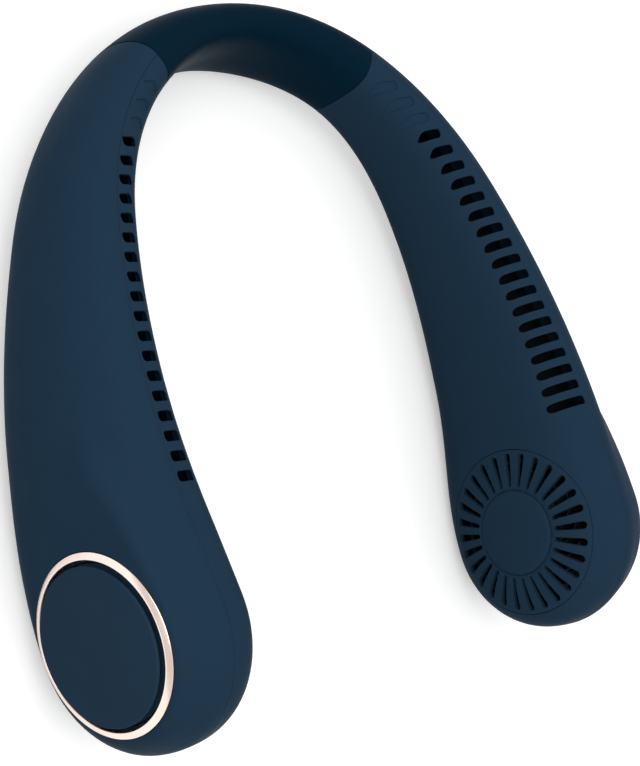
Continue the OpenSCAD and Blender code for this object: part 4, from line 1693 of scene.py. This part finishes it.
@dataclass
class Controls:
    """The power button, and the holes for the controls in the right outer shell."""

    button_s: float = 149.073
    button_up: float = -32.8637
    button_r: float = 4.6
    button_skin: float = 13.4711
    rise: float = 0.8
    gap: float = 0.3
    flange_w: float = 0.9
    flange_out: float = 9.784
    flange_t: float = 1.0
    stem_r: float = 1.8
    stem_l: float = 1.2
    dish: float = 0.35
    light_s: float = 161.673
    light_r: float = 0.9
    light_pitch: float = 3.4
    light_count: int = 4
    usb_s: float = 141.123
    usb_out: float = 5.494
    usb_low: float = -44.238
    usb_w: float = 8.9
    usb_h: float = 3.2
    usb_l: float = 8.5
    usb_lead: float = 0.8
    rod_from: float = 4.0
    rod_to: float = 20.0
    rod_steps: int = 48
    button_steps: int = 96

    def _out_matrix(self, s: float, shift: float = 0.0) -> Matrix:
        """A place on the outer face, with Z outward, shifted along the band's straight line.

        Args:
            s: the place along the band.
            shift: how far it is shifted.

        Returns:
            The move, as band_matrix gives it.
        """
        return (
            band_matrix(Side.RIGHT, s, self.button_up)
            @ Matrix.Translation((shift, 0, 0))
            @ Matrix.Rotation(-math.pi / 2, 4, "X")
        )

    def button(self) -> Object:
        """The power button: a dished face, an eased rim, a flange and a stem.

        Returns:
            The button, at its place.
        """
        r, top = self.button_r, self.button_skin + self.rise
        flange_r = r + self.flange_w
        flange_low = self.flange_out - self.flange_t
        stem_out = flange_low - self.stem_l
        corners = [
            (0.0, top - self.dish, 0),
            (r * 0.3, top - self.dish * 0.92, 0),
            (r * 0.55, top - self.dish * 0.65, 0),
            (r * 0.75, top - self.dish * 0.2, 0),
            (r - 0.45, top, 0.2),
            (r, top - 0.1, 0.3),
            (r, self.flange_out, 0.1),
            (flange_r, self.flange_out, 0.1),
            (flange_r, flange_low, 0.1),
            (self.stem_r, flange_low, 0.1),
            (self.stem_r, stem_out, 0.2),
            (0.0, stem_out, 0),
        ]
        button = revolved("power_button_cap", rounded(corners), self.button_steps)
        return put(button, self._out_matrix(self.button_s))

    def _rod(self, radius: float, s: float, shift: float = 0.0) -> Object:
        """A round cutter, out through the outer shell.

        Args:
            radius: the hole's radius.
            s: the place along the band.
            shift: how far it is shifted.

        Returns:
            The cutter, at its place.
        """
        low, high = self.rod_from, self.rod_to
        profile = [(0.0, low), (radius, low), (radius, high), (0.0, high)]
        return put(revolved("rod_cutter", profile, self.rod_steps), self._out_matrix(s, shift))

    def _port_mouth(self) -> Object:
        """The cutter of the charging port's mouth, under the arm.

        Returns:
            The cutter, at its place.
        """
        w, h = self.usb_w + 2 * FIT_GAP, self.usb_h + 2 * FIT_GAP
        low = self.usb_low - 2 * self.usb_lead - 1
        bpy.ops.mesh.primitive_cube_add(size=1)
        mouth = bpy.context.object
        mouth.name = "port_cutter"
        mouth.data.transform(Matrix.Diagonal((w * MM, h * MM, self.usb_l * MM, 1)))

        def upright(edge: bpy.types.MeshEdge) -> bool:
            """Tells whether an edge runs along Z."""
            a, b = (mouth.data.vertices[i].co for i in edge.vertices)
            return abs((a - b).z) > MM

        round_edges(mouth, upright, 0.499 * h, 10)
        place = band_matrix(Side.RIGHT, self.button_s, low + self.usb_l / 2)
        shift = Matrix.Translation((self.usb_s - self.button_s, self.usb_out, 0))
        return put(mouth, place @ shift)

    def cutters(self) -> list[Object]:
        """The cutters of the button's, the lights' and the port's openings.

        Returns:
            The cutters, at their places.
        """
        middle = (self.light_count - 1) / 2
        lights = [
            self._rod(self.light_r + FIT_GAP, self.light_s, (i - middle) * self.light_pitch)
            for i in range(self.light_count)
        ]
        button = self._rod(self.button_r + self.gap, self.button_s)
        return [button, *lights, self._port_mouth()]

    def build(self, cap_lacquer: Material) -> None:
        """Builds and fits the power button.

        Args:
            cap_lacquer: the button's finish, as on the caps.
        """
        button = self.button()
        smooth(button)
        fit(button, "power_button", "power_button", "navy_cap", cap_lacquer)


def dress_nodes() -> None:
    """Gives every CAD node that keeps its own shape its real finish."""
    made: dict[str, Material] = {}
    for name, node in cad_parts.items():
        finish = next((f for ends, f in NODE_FINISHES.items() if name.endswith(ends)), None)
        if finish is None:
            continue
        if finish.name not in made:
            made[finish.name] = finish.material()
        dress(node, made[finish.name])
        log.info("%s keeps its CAD shape, in %s", name, finish.name)


@dataclass
class Studio:
    """A pale floor, soft lights and a camera at the photograph's angle."""

    floor_shade: str = "#FAFAFA"
    bounce_shade: str = "#969696"
    floor_lift: float = 0.3
    floor_size: float = 12.0
    camera_at: Point = (-484.706, -29.741, 440.244)
    camera_right: Point = (0.640813, -0.186264, 0.744758)
    camera_up: Point = (0.100410, 0.982122, 0.159232)
    camera_back: Point = (-0.761102, -0.027257, 0.648059)
    lens: float = 106.8
    sensor: float = 36.0
    world: float = 0.76
    look_at: Point = (0.0, 0.0, 0.03)
    lamps: tuple[tuple[str, Point, float, float], ...] = (
        ("key_light", (-1.1, 0.1, 1.15), 1.2, 10.0),
        ("fill_light", (-0.6, -1.2, 0.9), 1.4, 1.0),
        ("rim_light", (0.9, 1.0, 0.7), 0.8, 0.6),
    )

    def _floor(self) -> None:
        """A plain floor that the camera and reflections see as white."""
        bpy.ops.mesh.primitive_plane_add(size=self.floor_size)
        floor = bpy.context.object
        floor.name = "studio_floor"
        material = bpy.data.materials.new("pale_studio_paper")
        add = partial(add_node, empty_tree(material))
        rays = add("LightPath").outputs
        seen = rays["Is Camera Ray"]
        for kind in ("Is Glossy Ray", "Is Transmission Ray"):
            seen = add("Math", {0: seen, 1: rays[kind]}, operation="MAXIMUM").outputs[0]
        lift = add("Math", {0: seen, 1: self.floor_lift}, operation="MULTIPLY")
        shades = {6: to_linear(self.bounce_shade), 7: to_linear(self.floor_shade)}
        shade = add("Mix", {0: seen, **shades}, data_type="RGBA")
        paper = add(
            "BsdfPrincipled",
            {
                "Base Color": shade.outputs[2],
                "Roughness": 0.9,
                "Specular IOR Level": 0.1,
                "Emission Color": (1, 1, 1, 1),
                "Emission Strength": lift.outputs[0],
            },
        )
        add("OutputMaterial", {"Surface": paper.outputs["BSDF"]})
        floor.data.materials.append(material)

    def _world(self) -> None:
        """Even white light from all round, seen as white."""
        world = bpy.data.worlds.new("studio_air")
        add = partial(add_node, empty_tree(world))
        seen = add("LightPath").outputs["Is Camera Ray"]
        strength = add("MapRange", {"Value": seen, "To Min": self.world, "To Max": 1.0})
        air = add("Background", {"Color": (1, 1, 1, 1), "Strength": strength.outputs["Result"]})
        add("OutputWorld", {"Surface": air.outputs["Background"]})
        bpy.context.scene.world = world

    def _lamp(self, name: str, at: Point, size: float, power: float) -> None:
        """A soft square lamp that looks at the middle of the fan.

        Args:
            name: the lamp's name.
            at: its place, in metres.
            size: its width, in metres.
            power: its power, in watts.
        """
        bpy.ops.object.light_add(type="AREA", location=at)
        lamp = bpy.context.object
        lamp.name = name
        lamp.data.shape = "SQUARE"
        lamp.data.size = size
        lamp.data.energy = power
        look = Vector(self.look_at) - Vector(at)
        lamp.rotation_euler = look.to_track_quat("-Z", "Y").to_euler()

    def _camera(self) -> None:
        """The camera, placed as the photograph was taken."""
        bpy.ops.object.camera_add()
        camera = bpy.context.object
        axes = Matrix((self.camera_right, self.camera_up, self.camera_back)).transposed()
        camera.matrix_world = Matrix.LocRotScale(
            Vector(self.camera_at) * MM, axes.to_quaternion(), None
        )
        camera.data.lens = self.lens
        camera.data.sensor_width = self.sensor
        camera.data.clip_start = 0.01
        bpy.context.scene.camera = camera

    def build(self) -> None:
        """Sets up the floor, the lights and the camera."""
        self._floor()
        self._world()
        for lamp in self.lamps:
            self._lamp(*lamp)
        self._camera()
        bpy.context.scene.view_settings.view_transform = "Standard"


def main() -> None:
    """Builds every piece, dresses the CAD nodes and sets up the studio."""
    logging.basicConfig(level=logging.INFO, format="%(message)s")
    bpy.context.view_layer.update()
    lacquer = NAVY_LACQUER.material()
    cap_lacquer = NAVY_CAP_LACQUER.material()
    Sleeve().build()
    controls = Controls()
    for side in Side:
        cuts = controls.cutters() if side is Side.RIGHT else []
        Arm(side).build(lacquer, cuts)
        Intake(side).build(lacquer, cap_lacquer)
    controls.build(cap_lacquer)
    dress_nodes()
    Studio().build()


if __name__ == "__main__":
    main()
